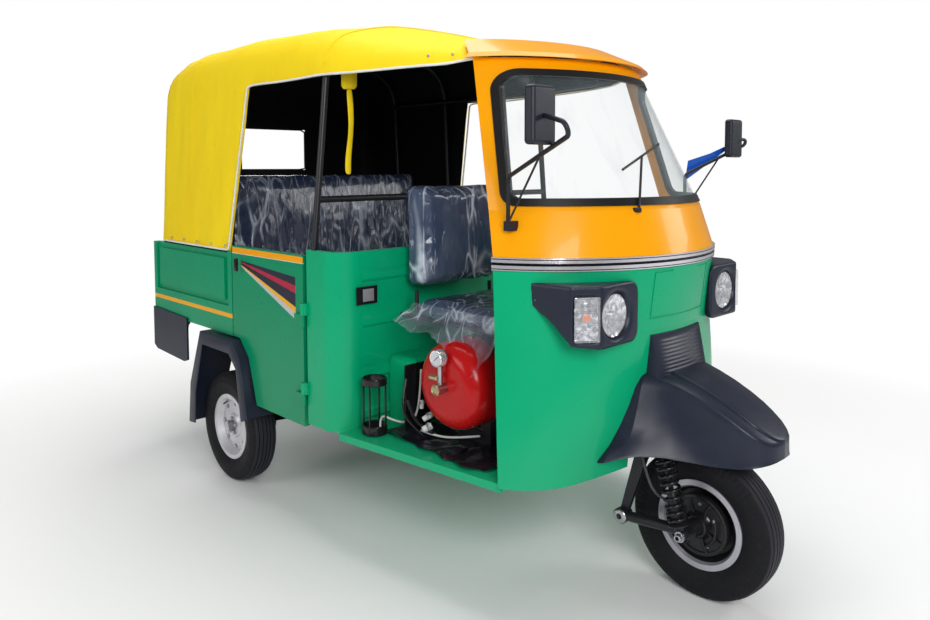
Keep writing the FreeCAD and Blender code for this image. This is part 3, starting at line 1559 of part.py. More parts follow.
def brake_hose():
    """Hose down the fork's leg and round to the brake plate."""
    leg_x = -link_plane_x - fork_leg_thickness - seat_gap - hose_radius
    plate_x = -front_drum_depth - seat_gap - brake_plate_thickness - seat_gap
    points = [vec(mix(leg_x, plate_x, share), back(setback), height) for share, setback, height in hose_route]
    edges = []
    start = points[0]
    for before, corner, after in zip(points, points[1:], points[2:]):
        arrive = (corner - before).normalize()
        leave = (after - corner).normalize()
        half_turn = arrive.getAngle(leave) / 2
        trim = hose_trim_share * min((corner - before).Length, (after - corner).Length)
        radius = trim / math.tan(half_turn)
        print("brake hose arc radius", round(radius, 1))
        middle = corner + (leave - arrive).normalize() * (radius / math.cos(half_turn) - radius)
        edges.append(Part.LineSegment(start, corner - arrive * trim).toShape())
        edges.append(Part.Arc(corner - arrive * trim, middle, corner + leave * trim).toShape())
        start = corner + leave * trim
    edges.append(Part.LineSegment(start, points[-1]).toShape())
    profile = Part.Wire(Part.makeCircle(hose_radius, points[0], points[1] - points[0]))
    return Part.Wire(edges).makePipeShell([profile], True, False)


def handlebar():
    """Bar on top of the stem, swept back to two grips."""
    top = steer_point(stem_high + 2 * handlebar_radius)
    foot = steer_point(stem_high)
    foot = foot + (top - foot).normalize() * seat_gap
    half = handlebar_half_width
    rise = handlebar_rise
    end_y = top.y + handlebar_pull_back
    bar = bent_tube([vec(-half, end_y, top.z + rise), vec(-half / 2, top.y, top.z + rise),
                     vec(-half / 5, top.y, top.z), vec(half / 5, top.y, top.z),
                     vec(half / 2, top.y, top.z + rise), vec(half, end_y, top.z + rise)],
                    handlebar_radius, 4 * handlebar_radius)
    shapes = [bar]
    for side in (-1, 1):
        outer = vec(side * half, end_y, top.z + rise)
        inner = vec(side * half / 2, top.y, top.z + rise)
        along = (inner - outer).normalize() * grip_length
        shapes.append(rod(outer, outer + along, grip_radius))
    shapes.append(rod(foot, top, stem_radius))
    return fused(shapes)


# Rear mudguards, plates and lamps


def rear_mudguard():
    """Right arch: a bent sheet over the wheel, flared outside, with its flap."""
    points = [(back(arch_front_setback), arch_front_height), (back(arch_bend_setback), arch_bend_height),
              (back(arch_crest_front), arch_crest_height), (back(arch_crest_rear), arch_crest_height),
              (back(arch_rear_setback), arch_rear_height), (back(flap_setback), flap_height)]
    outer_x = -body_half_width - arch_flare
    inner_x = outer_x + arch_inner + arch_flare
    centre_y = rear_axle_y
    ring = []
    for depth in (0.0, arch_sheet, arch_band):
        row = []
        for y, z in points:
            reach = math.hypot(y - centre_y, z - wheel_radius)
            scale = (reach - depth) / reach
            row.append((centre_y + (y - centre_y) * scale, wheel_radius + (z - wheel_radius) * scale))
        ring.append(row)
    sheet = side_prism(ring[0] + ring[1][::-1], outer_x, inner_x)
    face = side_prism(ring[0] + ring[2][::-1], outer_x, outer_x + arch_sheet)
    panel = box(-body_half_width - seat_gap, inner_x + cut_overrun, back(arch_front_setback) - cut_overrun,
                back(door_rear_setback) + door_gap + cut_overrun, side_panel_bottom - seat_gap, hood_bottom)
    arch = sheet.fuse(face).removeSplitter().cut(panel)
    stays = []
    for y in (back(arch_crest_front), back(arch_crest_rear) - arch_stay_width):
        stays.append(box(inner_x - arch_stay_width, inner_x, y, y + arch_stay_width,
                         arch_crest_height - arch_sheet / 2, load_floor_top - floor_sheet - seat_gap))
    return fused([arch] + stays)


def mud_plate():
    """Right plate under the side panel, behind the wheel."""
    outer = -body_half_width
    outline = [(back(mud_plate_front), mud_plate_high - side_box_depth), (back(mud_plate_rear), mud_plate_high),
               (back(mud_plate_rear), mud_plate_low + 2 * mud_plate_sheet),
               (back(mud_plate_rear) - 4 * mud_plate_sheet, mud_plate_low),
               (back(mud_plate_front) + 4 * mud_plate_sheet, mud_plate_low - side_box_depth),
               (back(mud_plate_front), mud_plate_low)]
    return side_prism(outline, outer - mud_plate_sheet - seat_gap, outer - seat_gap)


def tail_lamps():
    """Two round lamps on brackets below the load floor."""
    rear = body_rear_y
    lamp = rod(vec(tail_lamp_x, rear - tail_lamp_depth, tail_lamp_height),
               vec(tail_lamp_x, rear, tail_lamp_height), tail_lamp_radius)
    bracket = box(tail_lamp_x - tail_lamp_radius / 2, tail_lamp_x + tail_lamp_radius / 2,
                  rear - tail_lamp_depth - floor_sheet, rear - tail_lamp_depth,
                  tail_lamp_height - tail_lamp_radius, load_floor_top - floor_sheet - seat_gap)
    return both_sides(fused([lamp, bracket]))


def build():
    save("chassis_frame", chassis())
    save("cab_floor", cab_floor())
    save("front_cowl", front_cowl())
    save("upper_cowl", upper_cowl())
    save("roof_visor", roof_visor())
    save("windscreen_glass", windscreen_glass())
    save("windscreen_seal", windscreen_seal())
    save("belt_trim", belt_trim())
    save("headlamp_bezels", both_sides(headlamp_bezel()))
    save("lamp_lenses", lamp_lenses())
    save("front_mudguard", front_mudguard())
    save("mudguard_bridge", mudguard_bridge())
    save("dashboard", dashboard())
    save("wiper", wiper())
    save("mirrors", mirrors())
    save("bulkhead", bulkhead())
    save("corner_posts", both_sides(corner_post()))
    save("rear_floor", rear_floor())
    save("side_panels", both_sides(side_panel()))
    save("hood", hood())
    save("hood_frame", hood_frame())
    save("driver_seat_cushion", driver_cushion())
    save("driver_seat_back", driver_back())
    save("driver_seat_frame", seat_frame())
    save("bench_cushion", bench_cushion())
    save("bench_back", bench_back())
    save("bench_base", bench_base())
    save("gas_tank", gas_tank())
    save("tank_cradle", tank_cradle())
    save("tank_valve", tank_valve())
    save("cab_equipment", equipment())
    save("bottle_cage", bottle_cage())
    save("engine_block", engine_block())
    save("muffler", muffler())
    save("rear_suspension", both_sides(rear_suspension()))
    save("rear_mudguards", both_sides(rear_mudguard()))
    save("mud_plates", both_sides(mud_plate()))
    save("tail_lamps", tail_lamps())
    save("steering_fork", fork())
    save("front_damper", front_damper())
    save("brake_hose", brake_hose())
    save("handlebar", handlebar())
    save("front_tyre", tyre(0.0, front_axle_y))
    save("front_rim", front_rim())
    right_rim = rear_rim()
    save("rear_tyre_right", tyre(-rear_wheel_x, rear_axle_y))
    save("rear_rim_right", right_rim)
    save("rear_tyre_left", tyre(rear_wheel_x, rear_axle_y))
    save("rear_rim_left", mirrored(right_rim))
    right_door = door()
    save("door_right", right_door)
    save("door_left", mirrored(right_door))
    save("tailgate", tailgate())


os.makedirs("parts", exist_ok=True)
build()
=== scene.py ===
import json
import math
import bmesh
import bpy
from mathutils import Matrix, Quaternion, Vector, noise

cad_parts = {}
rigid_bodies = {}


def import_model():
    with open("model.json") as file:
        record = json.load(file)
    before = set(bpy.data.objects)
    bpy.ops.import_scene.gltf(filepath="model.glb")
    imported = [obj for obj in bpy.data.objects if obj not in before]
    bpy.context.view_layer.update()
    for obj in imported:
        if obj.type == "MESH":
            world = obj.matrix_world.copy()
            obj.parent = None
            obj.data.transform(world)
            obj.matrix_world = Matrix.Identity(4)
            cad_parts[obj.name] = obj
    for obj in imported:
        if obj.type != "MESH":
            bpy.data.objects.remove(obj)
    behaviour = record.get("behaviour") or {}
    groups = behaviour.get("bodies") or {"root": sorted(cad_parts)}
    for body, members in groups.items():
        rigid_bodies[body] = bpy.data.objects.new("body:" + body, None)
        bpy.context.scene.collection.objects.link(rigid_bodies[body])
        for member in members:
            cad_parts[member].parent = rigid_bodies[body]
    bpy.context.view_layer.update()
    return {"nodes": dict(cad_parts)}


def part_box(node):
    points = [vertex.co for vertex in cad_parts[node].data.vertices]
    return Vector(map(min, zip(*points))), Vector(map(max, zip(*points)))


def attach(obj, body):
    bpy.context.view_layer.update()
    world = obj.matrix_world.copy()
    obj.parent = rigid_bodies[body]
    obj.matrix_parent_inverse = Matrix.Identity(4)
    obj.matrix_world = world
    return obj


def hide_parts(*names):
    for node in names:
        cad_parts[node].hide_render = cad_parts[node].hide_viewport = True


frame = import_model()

nodes = frame["nodes"]

# Metres: the axles along Y, the height of the wheels' middles, and how far out doors and panels begin
front_axle, wheelbase, axle_height = -1.2, 1.905, 0.240
rear_axle = front_axle + wheelbase
outer_face = 0.694
# The sign of X and the word in the names of pieces
both_sides = ((-1, "right"), (1, "left"))


def along_y(setback):
    """A place in millimetres behind the front axle, as the frame's Y in metres."""
    return setback / 1000 + front_axle


# Shader sums written as plain expressions

class Flow:
    """An output of a shader node that joins in sums as a number does."""

    def __init__(self, socket):
        self.socket = socket

    def math(self, operation, *others):
        made = self.socket.id_data.nodes.new("ShaderNodeMath")
        made.operation = operation
        for place, value in zip(made.inputs, (self,) + others):
            plug(place, value)
        return Flow(made.outputs[0])

    def __add__(self, other):
        return self.math("ADD", other)

    def __mul__(self, other):
        return self.math("MULTIPLY", other)

    def __sub__(self, other):
        return self.math("SUBTRACT", other)

    def __truediv__(self, other):
        return self.math("DIVIDE", other)

    def __rsub__(self, other):
        return self * -1 + other

    def __gt__(self, other):
        return self.math("GREATER_THAN", other)

    def __lt__(self, other):
        return self.math("LESS_THAN", other)

    __radd__ = __add__
    __rmul__ = __mul__

    def near(self, value, width):
        """1 within this distance of the value, else 0."""
        return self.math("COMPARE", value, width)

    def between(self, low, high):
        return (self > low) * (self < high)

    def soft(self, low, high):
        """Rises from 0 at low to 1 at high."""
        return ((self - low) / (high - low)).math("MAXIMUM", 0).math("MINIMUM", 1)


def plug(place, value):
    if isinstance(value, Flow):
        place.id_data.links.new(place, value.socket)
    elif isinstance(value, (tuple, list)) and len(value) == 3 and place.type == "RGBA":
        place.default_value = (*value, 1)
    else:
        place.default_value = value


class Finish:
    """A material while it is being mixed."""

    def __init__(self, name, colour, roughness=0.5, metallic=0.0, **fixed):
        self.material = bpy.data.materials.new(name)
        self.material.use_nodes = True
        self.tree = self.material.node_tree
        self.shader = self.tree.nodes["Principled BSDF"]
        self.set(base_color=colour, roughness=roughness, metallic=metallic, **fixed)
        self.bump = None

    def add(self, kind, output=0, **values):
        made = self.tree.nodes.new("ShaderNode" + kind)
        for key, value in values.items():
            name = key.replace("_", " ")
            plug([s for s in made.inputs if s.name.lower() == name and s.enabled][0], value)
        return Flow(made.outputs[output])

    def set(self, **values):
        for key, value in values.items():
            name = key.replace("_", " ")
            plug([s for s in self.shader.inputs if s.name.lower() == name][0], value)

    def place(self, scale=None):
        place = Flow(self.tree.nodes.new("ShaderNodeTexCoord").outputs["Object"])
        return self.add("Mapping", vector=place, scale=scale) if scale else place

    def axes(self):
        split = self.tree.nodes.new("ShaderNodeSeparateXYZ")
        plug(split.inputs[0], self.place())
        return [Flow(out) for out in split.outputs]

    def round_axle(self, centre):
        """Y and Z from a wheel's axis, and the distance from it."""
        x, y, z = self.axes()
        dy, dz = y - centre[1], z - centre[2]
        return dy, dz, (dy * dy + dz * dz).math("SQRT")

    def cloud(self, size, detail=3.0, stretch=(1, 1, 1), rough=0.5):
        scale = tuple(1 / (size * s) for s in stretch)
        return self.add("TexNoise", vector=self.place(scale), scale=1.0, detail=detail, roughness=rough)

    def cells(self, size):
        return self.add("TexVoronoi", vector=self.place((1 / size,) * 3), scale=1.0)

    def mix(self, share, first, second):
        made = self.tree.nodes.new("ShaderNodeMix")
        made.data_type = "RGBA"
        plug(made.inputs["Factor"], share)
        plug([s for s in made.inputs if s.name == "A" and s.type == "RGBA"][0], first)
        plug([s for s in made.inputs if s.name == "B" and s.type == "RGBA"][0], second)
        return Flow([s for s in made.outputs if s.type == "RGBA"][0])

    def under(self):
        """The base colour as it is mixed so far."""
        return Flow(self.shader.inputs["Base Color"].links[0].from_socket)

    def raised(self, height, distance, strength=1.0):
        """Adds a height to the surface's bump."""
        values = dict(height=height, distance=distance, strength=strength)
        if self.bump is not None:
            values["normal"] = self.bump
        self.bump = self.add("Bump", **values)
        self.set(normal=self.bump)


def shade(colour, factor):
    return tuple(min(1.0, c * factor) for c in colour)


# Colours of this vehicle, as linear red, green and blue

green = (0.0006, 0.37, 0.165)
orange = (0.90, 0.355, 0.0008)
canvas_yellow = (1.0, 0.70, 0.013)
fender_black = (0.011, 0.015, 0.031)
navy = (0.020, 0.030, 0.068)


# Finishes

def gloss_paint(name, colour, roughness=0.24):
    paint = Finish(name, colour, roughness, coat_weight=0.16, coat_roughness=0.05, specular_ior_level=0.16)
    drift = paint.cloud(0.35, 3)
    dust = paint.cloud(0.012, 4)
    low = 1 - paint.axes()[2].soft(0.38, 0.62)
    tone = paint.mix(drift, shade(colour, 0.90), shade(colour, 1.08))
    paint.set(base_color=paint.mix(low * dust * 0.10, tone, (0.16, 0.14, 0.11)))
    paint.set(roughness=roughness + 0.10 * dust + 0.15 * low)
    paint.raised(paint.cloud(0.0022, 2), 0.00012, 0.25)
    paint.raised(paint.cloud(0.22, 1), 0.0012, 0.35)
    return paint


def satin(name, colour, roughness=0.42, grain=0.0012, depth=0.00012, metallic=0.0):
    made = Finish(name, colour, roughness, metallic, specular_ior_level=0.5 if metallic else 0.34)
    speck = made.cloud(grain, 3)
    wear = made.cloud(0.06, 4)
    made.set(base_color=made.mix(wear, shade(colour, 0.82), shade(colour, 1.22)),
             roughness=roughness - 0.06 + 0.14 * wear)
    made.raised(speck, depth, 0.5)
    return made


def chrome_finish():
    made = Finish("chrome", (0.82, 0.81, 0.86), 0.12, 0.75)
    smear = made.cloud(0.03, 4)
    z = made.axes()[2]
    line = z.near(1.0900, 0.0042) + z.near(1.0745, 0.0014) + z.near(1.1045, 0.0014)
    made.set(roughness=0.07 + 0.16 * smear, base_color=made.mix(line, (0.82, 0.81, 0.86), (0.015, 0.015, 0.022)))
    made.raised(made.cloud(0.05, 2), 0.0006, 0.5)
    return made


def canvas_finish(name, colour, folds):
    made = Finish(name, colour, 0.62, specular_ior_level=0.12)
    x, y, z = made.axes()
    warp = (y * 1900).math("SINE") * (z * 1900).math("SINE") * (x * 1900).math("SINE")
    stain = made.cloud(0.30, 4, (1, 1, 2.5))
    fine = made.cloud(0.02, 3)
    # top: the canvas painted darker towards its crown, a painted shade against the strong light from above
    top = z.soft(1.80, 1.99)
    tone = made.mix(stain, shade(colour, 0.86), shade(colour, 1.10))
    tone = made.mix(top * 0.7, tone, shade(colour, 0.84))
    made.set(base_color=made.mix(fine * 0.12, tone, shade(colour, 0.72)))
    made.raised(warp, 0.0004, 0.25)
    if folds:
        made.raised(made.cloud(0.075, 3, (1, 1, 6)), 0.010, 0.55)
        made.raised(made.cloud(0.16, 2, (1.6, 1.0, 3)), 0.010, 0.5)
    return made


def film_finish(name="seat_vinyl_in_film", colour=navy, clear=False, shine=1.0):
    """Dark vinyl under creased clear film, or the film alone where it hangs free; shine sets how bright the painted
    glints along its creases are.
    """
    made = Finish(name, colour, 0.26, coat_weight=0.35, coat_roughness=0.06, specular_ior_level=0.35)
    folds = []
    for turn, size in ((0.55, 0.15), (-0.40, 0.12), (0.12, 0.19), (1.25, 0.17)):
        spot = made.add("Mapping", vector=made.place(), rotation=(turn, turn * 0.6, 0),
                        scale=(1 / size, 1 / size, 0.20 / size))
        field = made.add("TexNoise", vector=spot, scale=1.0, detail=1.0, roughness=0.4, distortion=0.15)
        near = 1 - ((field - 0.5).math("ABSOLUTE") * 46).math("MINIMUM", 1)
        folds.append(near * near)
    mask = made.cloud(0.11, 2).soft(0.38, 0.54)
    small = made.cloud(0.045, 2, (0.7, 0.7, 2.4), 0.5)
    crumple = 1 - ((small - 0.5).math("ABSOLUTE") * 20).math("MINIMUM", 1)
    crumple = crumple * crumple * made.cloud(0.08, 2).soft(0.52, 0.66)
    fold = (folds[0] + folds[1] + folds[2] * 0.8 + folds[3] * 0.5).math("MINIMUM", 1)
    haze = made.cloud(0.12, 2, (0.8, 1, 1.6), 0.5).soft(0.46, 0.74)
    # Painted highlights: pale glints along the folds and crumples, plus the film's own whitish fog; the same mark makes
    # the hanging film more opaque
    painted_glints_and_fog = fold * mask * (0.20 + 0.38 * shine) + crumple * (0.15 + 0.20 * shine) + haze * 0.05 * shine
    painted_glints_and_fog = painted_glints_and_fog.math("MINIMUM", 1)
    made.set(base_color=made.mix(painted_glints_and_fog, colour, (0.56, 0.62, 0.72)), roughness=0.12 + 0.20 * small)
    made.raised(haze, 0.010, 0.8)
    made.raised(fold, 0.004, 0.8)
    made.raised(crumple, 0.003, 0.8)
    if clear:
        made.set(alpha=(0.22 + 0.70 * painted_glints_and_fog).math("MINIMUM", 1))
    return made


def tyre_finish(name, centre):
    """Sidewall rings and shoulder ribs round the wheel's own axis."""
    made = Finish(name, (0.006, 0.006, 0.008), 0.55, specular_ior_level=0.22)
    dy, dz, radius = made.round_axle(centre)
    angle = dz.math("ARCTAN2", dy)
    wear = made.cloud(0.02, 4)
    ribs = (angle * 76).math("SINE").soft(-0.2, 0.5) * radius.between(0.196, 0.228)
    rings = (radius * 900).math("SINE") * radius.between(0.165, 0.185)
    tread = radius > 0.232
    made.set(base_color=made.mix(tread * (0.35 + 0.4 * wear), (0.006, 0.006, 0.008), (0.034, 0.032, 0.044)),
             roughness=0.48 + 0.30 * wear)
    made.raised(ribs, 0.0015, 0.7)
    made.raised(rings, 0.0006, 0.5)
    made.raised(wear, 0.0006, 0.4)
    return made


def clear_finish(name, tint, strength=0.10, roughness=0.02):
    """Clear sheet: what is behind shows through, and the sheet gleams more at a glance."""
    made = Finish(name, tint, roughness)
    made.set(specular_ior_level=0.8)
    edge = made.add("LayerWeight", output=1, blend=0.35)
    streak = made.cloud(0.10, 3, (0.6, 1, 3)).soft(0.55, 0.8)
    made.set(alpha=(strength + 0.30 * edge * edge + 0.10 * streak).math("MINIMUM", 1), base_color=tint)
    return made


paint_green = gloss_paint("body_green", green)
paint_orange = gloss_paint("nose_orange", orange, 0.20)
paint_black = satin("frame_black", (0.014, 0.014, 0.017), 0.34)
plastic_black = satin("bezel_plastic", (0.010, 0.012, 0.021), 0.40, 0.0009, 0.0001)
plastic_fender = satin("fender_plastic", fender_black, 0.36, 0.0014, 0.0002)
rubber = satin("seal_rubber", (0.0045, 0.0045, 0.0055), 0.40, 0.0016, 0.0002)
steel = satin("plated_steel", (0.45, 0.45, 0.47), 0.30, 0.002, 0.0001, 1.0)
silver = satin("rim_silver", (0.60, 0.59, 0.62), 0.38, 0.0012, 0.0001, 0.5)
chrome = chrome_finish()
film_clear = film_finish("hanging_film", (0.30, 0.34, 0.42), True, 2.0)
mat_black = satin("mat_rubber", (0.010, 0.010, 0.014), 0.20, 0.006, 0.0012)
pipe_white = satin("pipe_white", (0.62, 0.62, 0.60), 0.35, 0.002, 0.0001)
hose_grey = satin("hose_grey", (0.075, 0.078, 0.088), 0.42, 0.001, 0.0002)
brass = satin("fitting_brass", (0.45, 0.36, 0.22), 0.30, 0.002, 0.0001, 0.9)
dial_face = Finish("dial_face", (0.55, 0.57, 0.60), 0.35)
blue_film = Finish("blue_film", (0.01, 0.10, 0.55), 0.15, coat_weight=0.6)
gloss_black = satin("gloss_black", (0.010, 0.010, 0.012), 0.16, 0.004, 0.0002)
plate_grey = satin("blank_plate", (0.30, 0.31, 0.33), 0.4, 0.002, 0.0001, 0.4)
canvas = canvas_finish("hood_canvas", canvas_yellow, True)
lining = canvas_finish("hood_lining", (0.010, 0.010, 0.013), False)
film = film_finish()
# Painted light: the same navy seat vinyl made lighter on the driver's seat, with stronger painted glints
film_painted_lighter = film_finish("driver_vinyl_in_film_painted_lighter", (0.040, 0.062, 0.118), False, 2.0)
tank_paint = gloss_paint("tank_red", (0.42, 0.005, 0.006), 0.18)
engine_grey = satin("cast_grey", (0.16, 0.16, 0.17), 0.55, 0.004, 0.0006, 0.4)
rust_steel = satin("muffler_steel", (0.20, 0.17, 0.15), 0.50, 0.006, 0.0004, 0.7)
lamp_glass = clear_finish("lamp_glass", (0.88, 0.90, 0.94), 0.16, 0.03)
screen_glass = clear_finish("screen_glass", (0.45, 0.55, 0.58), 0.05)
white_trim = satin("white_piping", (0.72, 0.72, 0.70), 0.5, 0.001, 0.0001)
reflector = Finish("lamp_reflector", (0.62, 0.63, 0.66), 0.14, 1.0)
# Painted reflections: dark and bright patches in the reflector's metal colour; its real facets come from the cells'
# bump below
painted_reflection_patches = reflector.cloud(0.014, 1).soft(0.40, 0.60)
reflector.set(base_color=reflector.mix(painted_reflection_patches, (0.16, 0.17, 0.20), (0.86, 0.87, 0.90)))
reflector.raised(reflector.cells(0.024), 0.0035, 0.8)
bulb_orange = Finish("bulb_orange", (0.75, 0.16, 0.02), 0.2, coat_weight=0.6)
bulb_orange.raised(bulb_orange.cloud(0.004, 2), 0.0004, 0.4)
lens_ribbed = clear_finish("ribbed_glass", (0.80, 0.82, 0.86), 0.22, 0.06)
across, _, up = lens_ribbed.axes()
lens_ribbed.raised((up * 900).math("SINE") + (across * 700).math("SINE"), 0.0012, 0.8)
red_lens = Finish("red_lens", (0.45, 0.008, 0.006), 0.12, coat_weight=0.6)
red_lens.raised((red_lens.axes()[0] * 900).math("SINE"), 0.0008, 0.5)


def ring_finish(name, centre, limit):
    """Silver on the rim's lips and black nearer the hub."""
    made = satin(name, (0.46, 0.45, 0.50), 0.34, 0.0012, 0.0001, 0.7)
    inside = made.round_axle(centre)[2] < limit
    made.set(base_color=made.mix(inside, made.under(), (0.010, 0.010, 0.012)), metallic=0.7 - 0.6 * inside)
    return made


def equipment_finish():
    """Green box, black bracket plate in front of it."""
    made = gloss_paint("equipment_paint", green)
    plate_back = -0.318
    made.set(base_color=made.mix(made.axes()[1] < plate_back, made.under(), (0.008, 0.008, 0.010)))
    return made


def coat(name, finish):
    """Gives a carried-over CAD node its finish."""
    slots = nodes[name].data.materials
    slots.clear()
    slots.append(finish.material)


def cowl_finish():
    """Green nose with the pressed lines round the middle."""
    made = gloss_paint("nose_green", green)
    x, y, z = made.axes()
    side = x.math("ABSOLUTE")
    front = y < -1.0
    upright = side.near(0.158, 0.0035) * z.between(0.905, 1.075)
    foot = z.near(0.905, 0.0035) * side.between(0.05, 0.160)
    top = z.near(1.075, 0.003) * side.between(0.06, 0.160)
    lower = z.near(0.862, 0.003) * (side < 0.19)
    press = (upright + foot + top + lower).math("MINIMUM", 1) * front
    made.raised(press, 0.0025, 0.8)
    return made


def painted_door():
    """Door paint, the body green painted darker as painted shade, with the orange band, its pale edge and the wedge of
    stripes.
    """
    made = gloss_paint("door_green_painted_shade", shade(green, 0.70))
    x, y, z = made.axes()
    side = x.math("ABSOLUTE")
    outside = side > outer_face
    edge = z.between(1.024, 1.0262) * (side > 0.690)
    tip, wide_end = 0.115, 0.575
    run = (y - tip) / (wide_end - tip)
    top_line = 1.000 - (1 - run) * 0.032
    low_line = 0.985 - (1 - run) * 0.185
    span = (z - low_line) / (top_line - low_line)
    tone = made.mix(span.between(0.0, 0.16), (0.020, 0.022, 0.040), (0.50, 0.50, 0.52))
    tone = made.mix(span.between(0.16, 0.30), tone, (0.80, 0.42, 0.02))
    tone = made.mix(span.between(0.62, 0.80), tone, (0.42, 0.02, 0.05))
    base = made.mix(z.between(1.024, 1.050) * outside, made.under(), orange)
    base = made.mix(edge, base, (0.70, 0.70, 0.68))
    made.set(base_color=made.mix(span.between(0, 1) * run.between(0.02, 0.93) * outside, base, tone))
    return made


def panel_finish():
    """Rear side panel with its low orange stripe, the body green painted darker as painted shade."""
    made = gloss_paint("side_green_painted_shade", shade(green, 0.78))
    x, _, z = made.axes()
    stripe = z.between(0.738, 0.757) * (x.math("ABSOLUTE") > outer_face)
    made.set(base_color=made.mix(stripe, made.under(), (0.85, 0.40, 0.01)))
    return made


for finish, names in (
        (paint_black, "chassis_frame wiper hood_frame driver_seat_frame tank_cradle rear_suspension steering_fork "
                      "front_damper handlebar"),
        (paint_green, "cab_floor bulkhead corner_posts rear_floor bench_base tailgate"),
        (paint_orange, "upper_cowl roof_visor"),
        (plastic_black, "headlamp_bezels dashboard mirrors bottle_cage"),
        (plastic_fender, "front_mudguard mudguard_bridge rear_mudguards mud_plates"),
        (film_painted_lighter, "driver_seat_cushion driver_seat_back"), (film, "bench_cushion bench_back"),
        (silver, "rear_rim_right rear_rim_left"), (steel, "tank_valve"), (tank_paint, "gas_tank"),
        (screen_glass, "windscreen_glass"), (rubber, "windscreen_seal"), (chrome, "belt_trim"),
        (lamp_glass, "lamp_lenses"), (canvas, "hood"), (hose_grey, "brake_hose"), (engine_grey, "engine_block"),
        (rust_steel, "muffler"), (red_lens, "tail_lamps"), (cowl_finish(), "front_cowl"),
        (panel_finish(), "side_panels"), (equipment_finish(), "cab_equipment"),
        (painted_door(), "door_right door_left"),
        (ring_finish("front_rim_ring", (0, front_axle, axle_height), 0.119), "front_rim")):
    for name in names.split():
        coat(name, finish)
for name in ("front_tyre", "rear_tyre_right", "rear_tyre_left"):
    low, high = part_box(name)
    coat(name, tyre_finish(name + "_rubber", (low + high) / 2))

# The record's slot that a finish stands for, where a piece doesn't name another
for slot, group in (("black_paint", (paint_black, gloss_black)), ("black_plastic", (plastic_black, plastic_fender)),
                    ("steel", (steel, pipe_white, brass, plate_grey, engine_grey)), ("rubber", (rubber, mat_black)),
                    ("glass", (dial_face, blue_film, lamp_glass, lens_ribbed, reflector, bulb_orange)),
                    ("chrome", (chrome,)), ("canvas", (canvas, white_trim)),
                    ("seat_cover", (film, film_painted_lighter, film_clear))):
    for finish in group:
        finish.slot = slot


# Help for modelling as by hand

def drift(x, y, z):
    """A smooth, uneven value that wanders between -1 and 1 from place to place."""
    return noise.noise(Vector((x, y, z)))


def take(made):
    """Makes an object the only selected and active one."""
    bpy.ops.object.select_all(action="DESELECT")
    made.select_set(True)
    bpy.context.view_layer.objects.active = made
    return made


def settle(made, name, finish, body):
    """Puts an object's place into its mesh, names it and gives it its finish and body."""
    take(made)
    if made.type != "MESH":
        bpy.ops.object.convert(target="MESH")
        made = active()
    made.data.transform(made.matrix_world)
    made.matrix_world = Matrix.Identity(4)
    made.name = name
    kept = [face.material_index for face in made.data.polygons]
    made.data.materials.clear()
    finish = finish if isinstance(finish, list) else [finish]
    for one in finish:
        made.data.materials.append(one.material)
    made.data.polygons.foreach_set("material_index", kept)
    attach(made, body)
    return made


def active():
    return bpy.context.view_layer.objects.active


def placed(name, data):
    """A new object in the scene."""
    made = bpy.data.objects.new(name, data)
    bpy.context.scene.collection.objects.link(made)
    return made


def modify(made, kind, **settings):
    """Adds a modifier, sets it up and applies it."""
    change = made.modifiers.new(kind.lower(), kind)
    for key, value in settings.items():
        setattr(change, key, value)
    take(made)
    bpy.ops.object.modifier_apply(modifier=change.name)
    return made


def smooth(made, degrees=35):
    take(made)
    bpy.ops.object.shade_smooth_by_angle(angle=math.radians(degrees))
    return made


def cad_copy(node, name, gap=0.00005):
    """A copy of a CAD node with its doubled points merged."""
    take(placed(name, nodes[node].data.copy()))
    bpy.ops.object.mode_set(mode="EDIT")
    return tidy_mesh(gap)


def tube(name, points, radius, finish, body, resolution=3, order=3, slot=None):
    """A bent rod or pipe along smooth points."""
    data = bpy.data.curves.new(name, "CURVE")
    data.dimensions = "3D"
    spline = data.splines.new("NURBS")
    spline.points.add(len(points) - 1)
    for place, point in zip(spline.points, points):
        place.co = (*point, 1)
    spline.order_u = min(order, len(points))
    spline.use_endpoint_u = True
    data.bevel_depth = radius
    data.bevel_resolution = resolution
    data.use_fill_caps = True
    data.resolution_u = 8
    return smooth(settle(placed(name, data), name, finish, body), 50)


def joined(parts, name):
    """One object out of several that share a body and finish order."""
    take(parts[0])
    for part in parts:
        part.select_set(True)
    bpy.ops.object.join()
    parts[0].name = name
    return parts[0]


def drawn(points):
    """A line drawn by extruding one vertex from point to point; edit mode stays on."""
    bpy.ops.mesh.primitive_plane_add(size=0.01, location=(0, 0, 0))
    bpy.ops.object.mode_set(mode="EDIT")
    bpy.ops.mesh.select_mode(type="VERT")
    bpy.ops.mesh.select_all(action="SELECT")
    bpy.ops.mesh.merge(type="CENTER")
    bpy.ops.transform.translate(value=points[0])
    for before, after in zip(points, points[1:]):
        move = Vector(after) - Vector(before)
        bpy.ops.mesh.extrude_region_move(TRANSFORM_OT_translate={"value": move})


def tidy_mesh(gap=0.00004):
    bpy.ops.mesh.select_all(action="SELECT")
    bpy.ops.mesh.remove_doubles(threshold=gap)
    bpy.ops.mesh.normals_make_consistent(inside=False)
    bpy.ops.object.mode_set(mode="OBJECT")
    return active()


def turned(name, profile, centre, axis, steps, finish, body, degrees=40, slot=None):
    """A line of (radius, along) points, drawn and spun about an axis through the centre."""
    axis = Vector(axis).normalized()
    side = axis.orthogonal().normalized()
    drawn([Vector(centre) + side * radius + axis * along for radius, along in profile])
    bpy.ops.mesh.select_all(action="SELECT")
    bpy.ops.mesh.spin(steps=steps, angle=2 * math.pi, center=centre, axis=axis)
    made = tidy_mesh()
    return smooth(settle(made, name, finish, body), degrees)


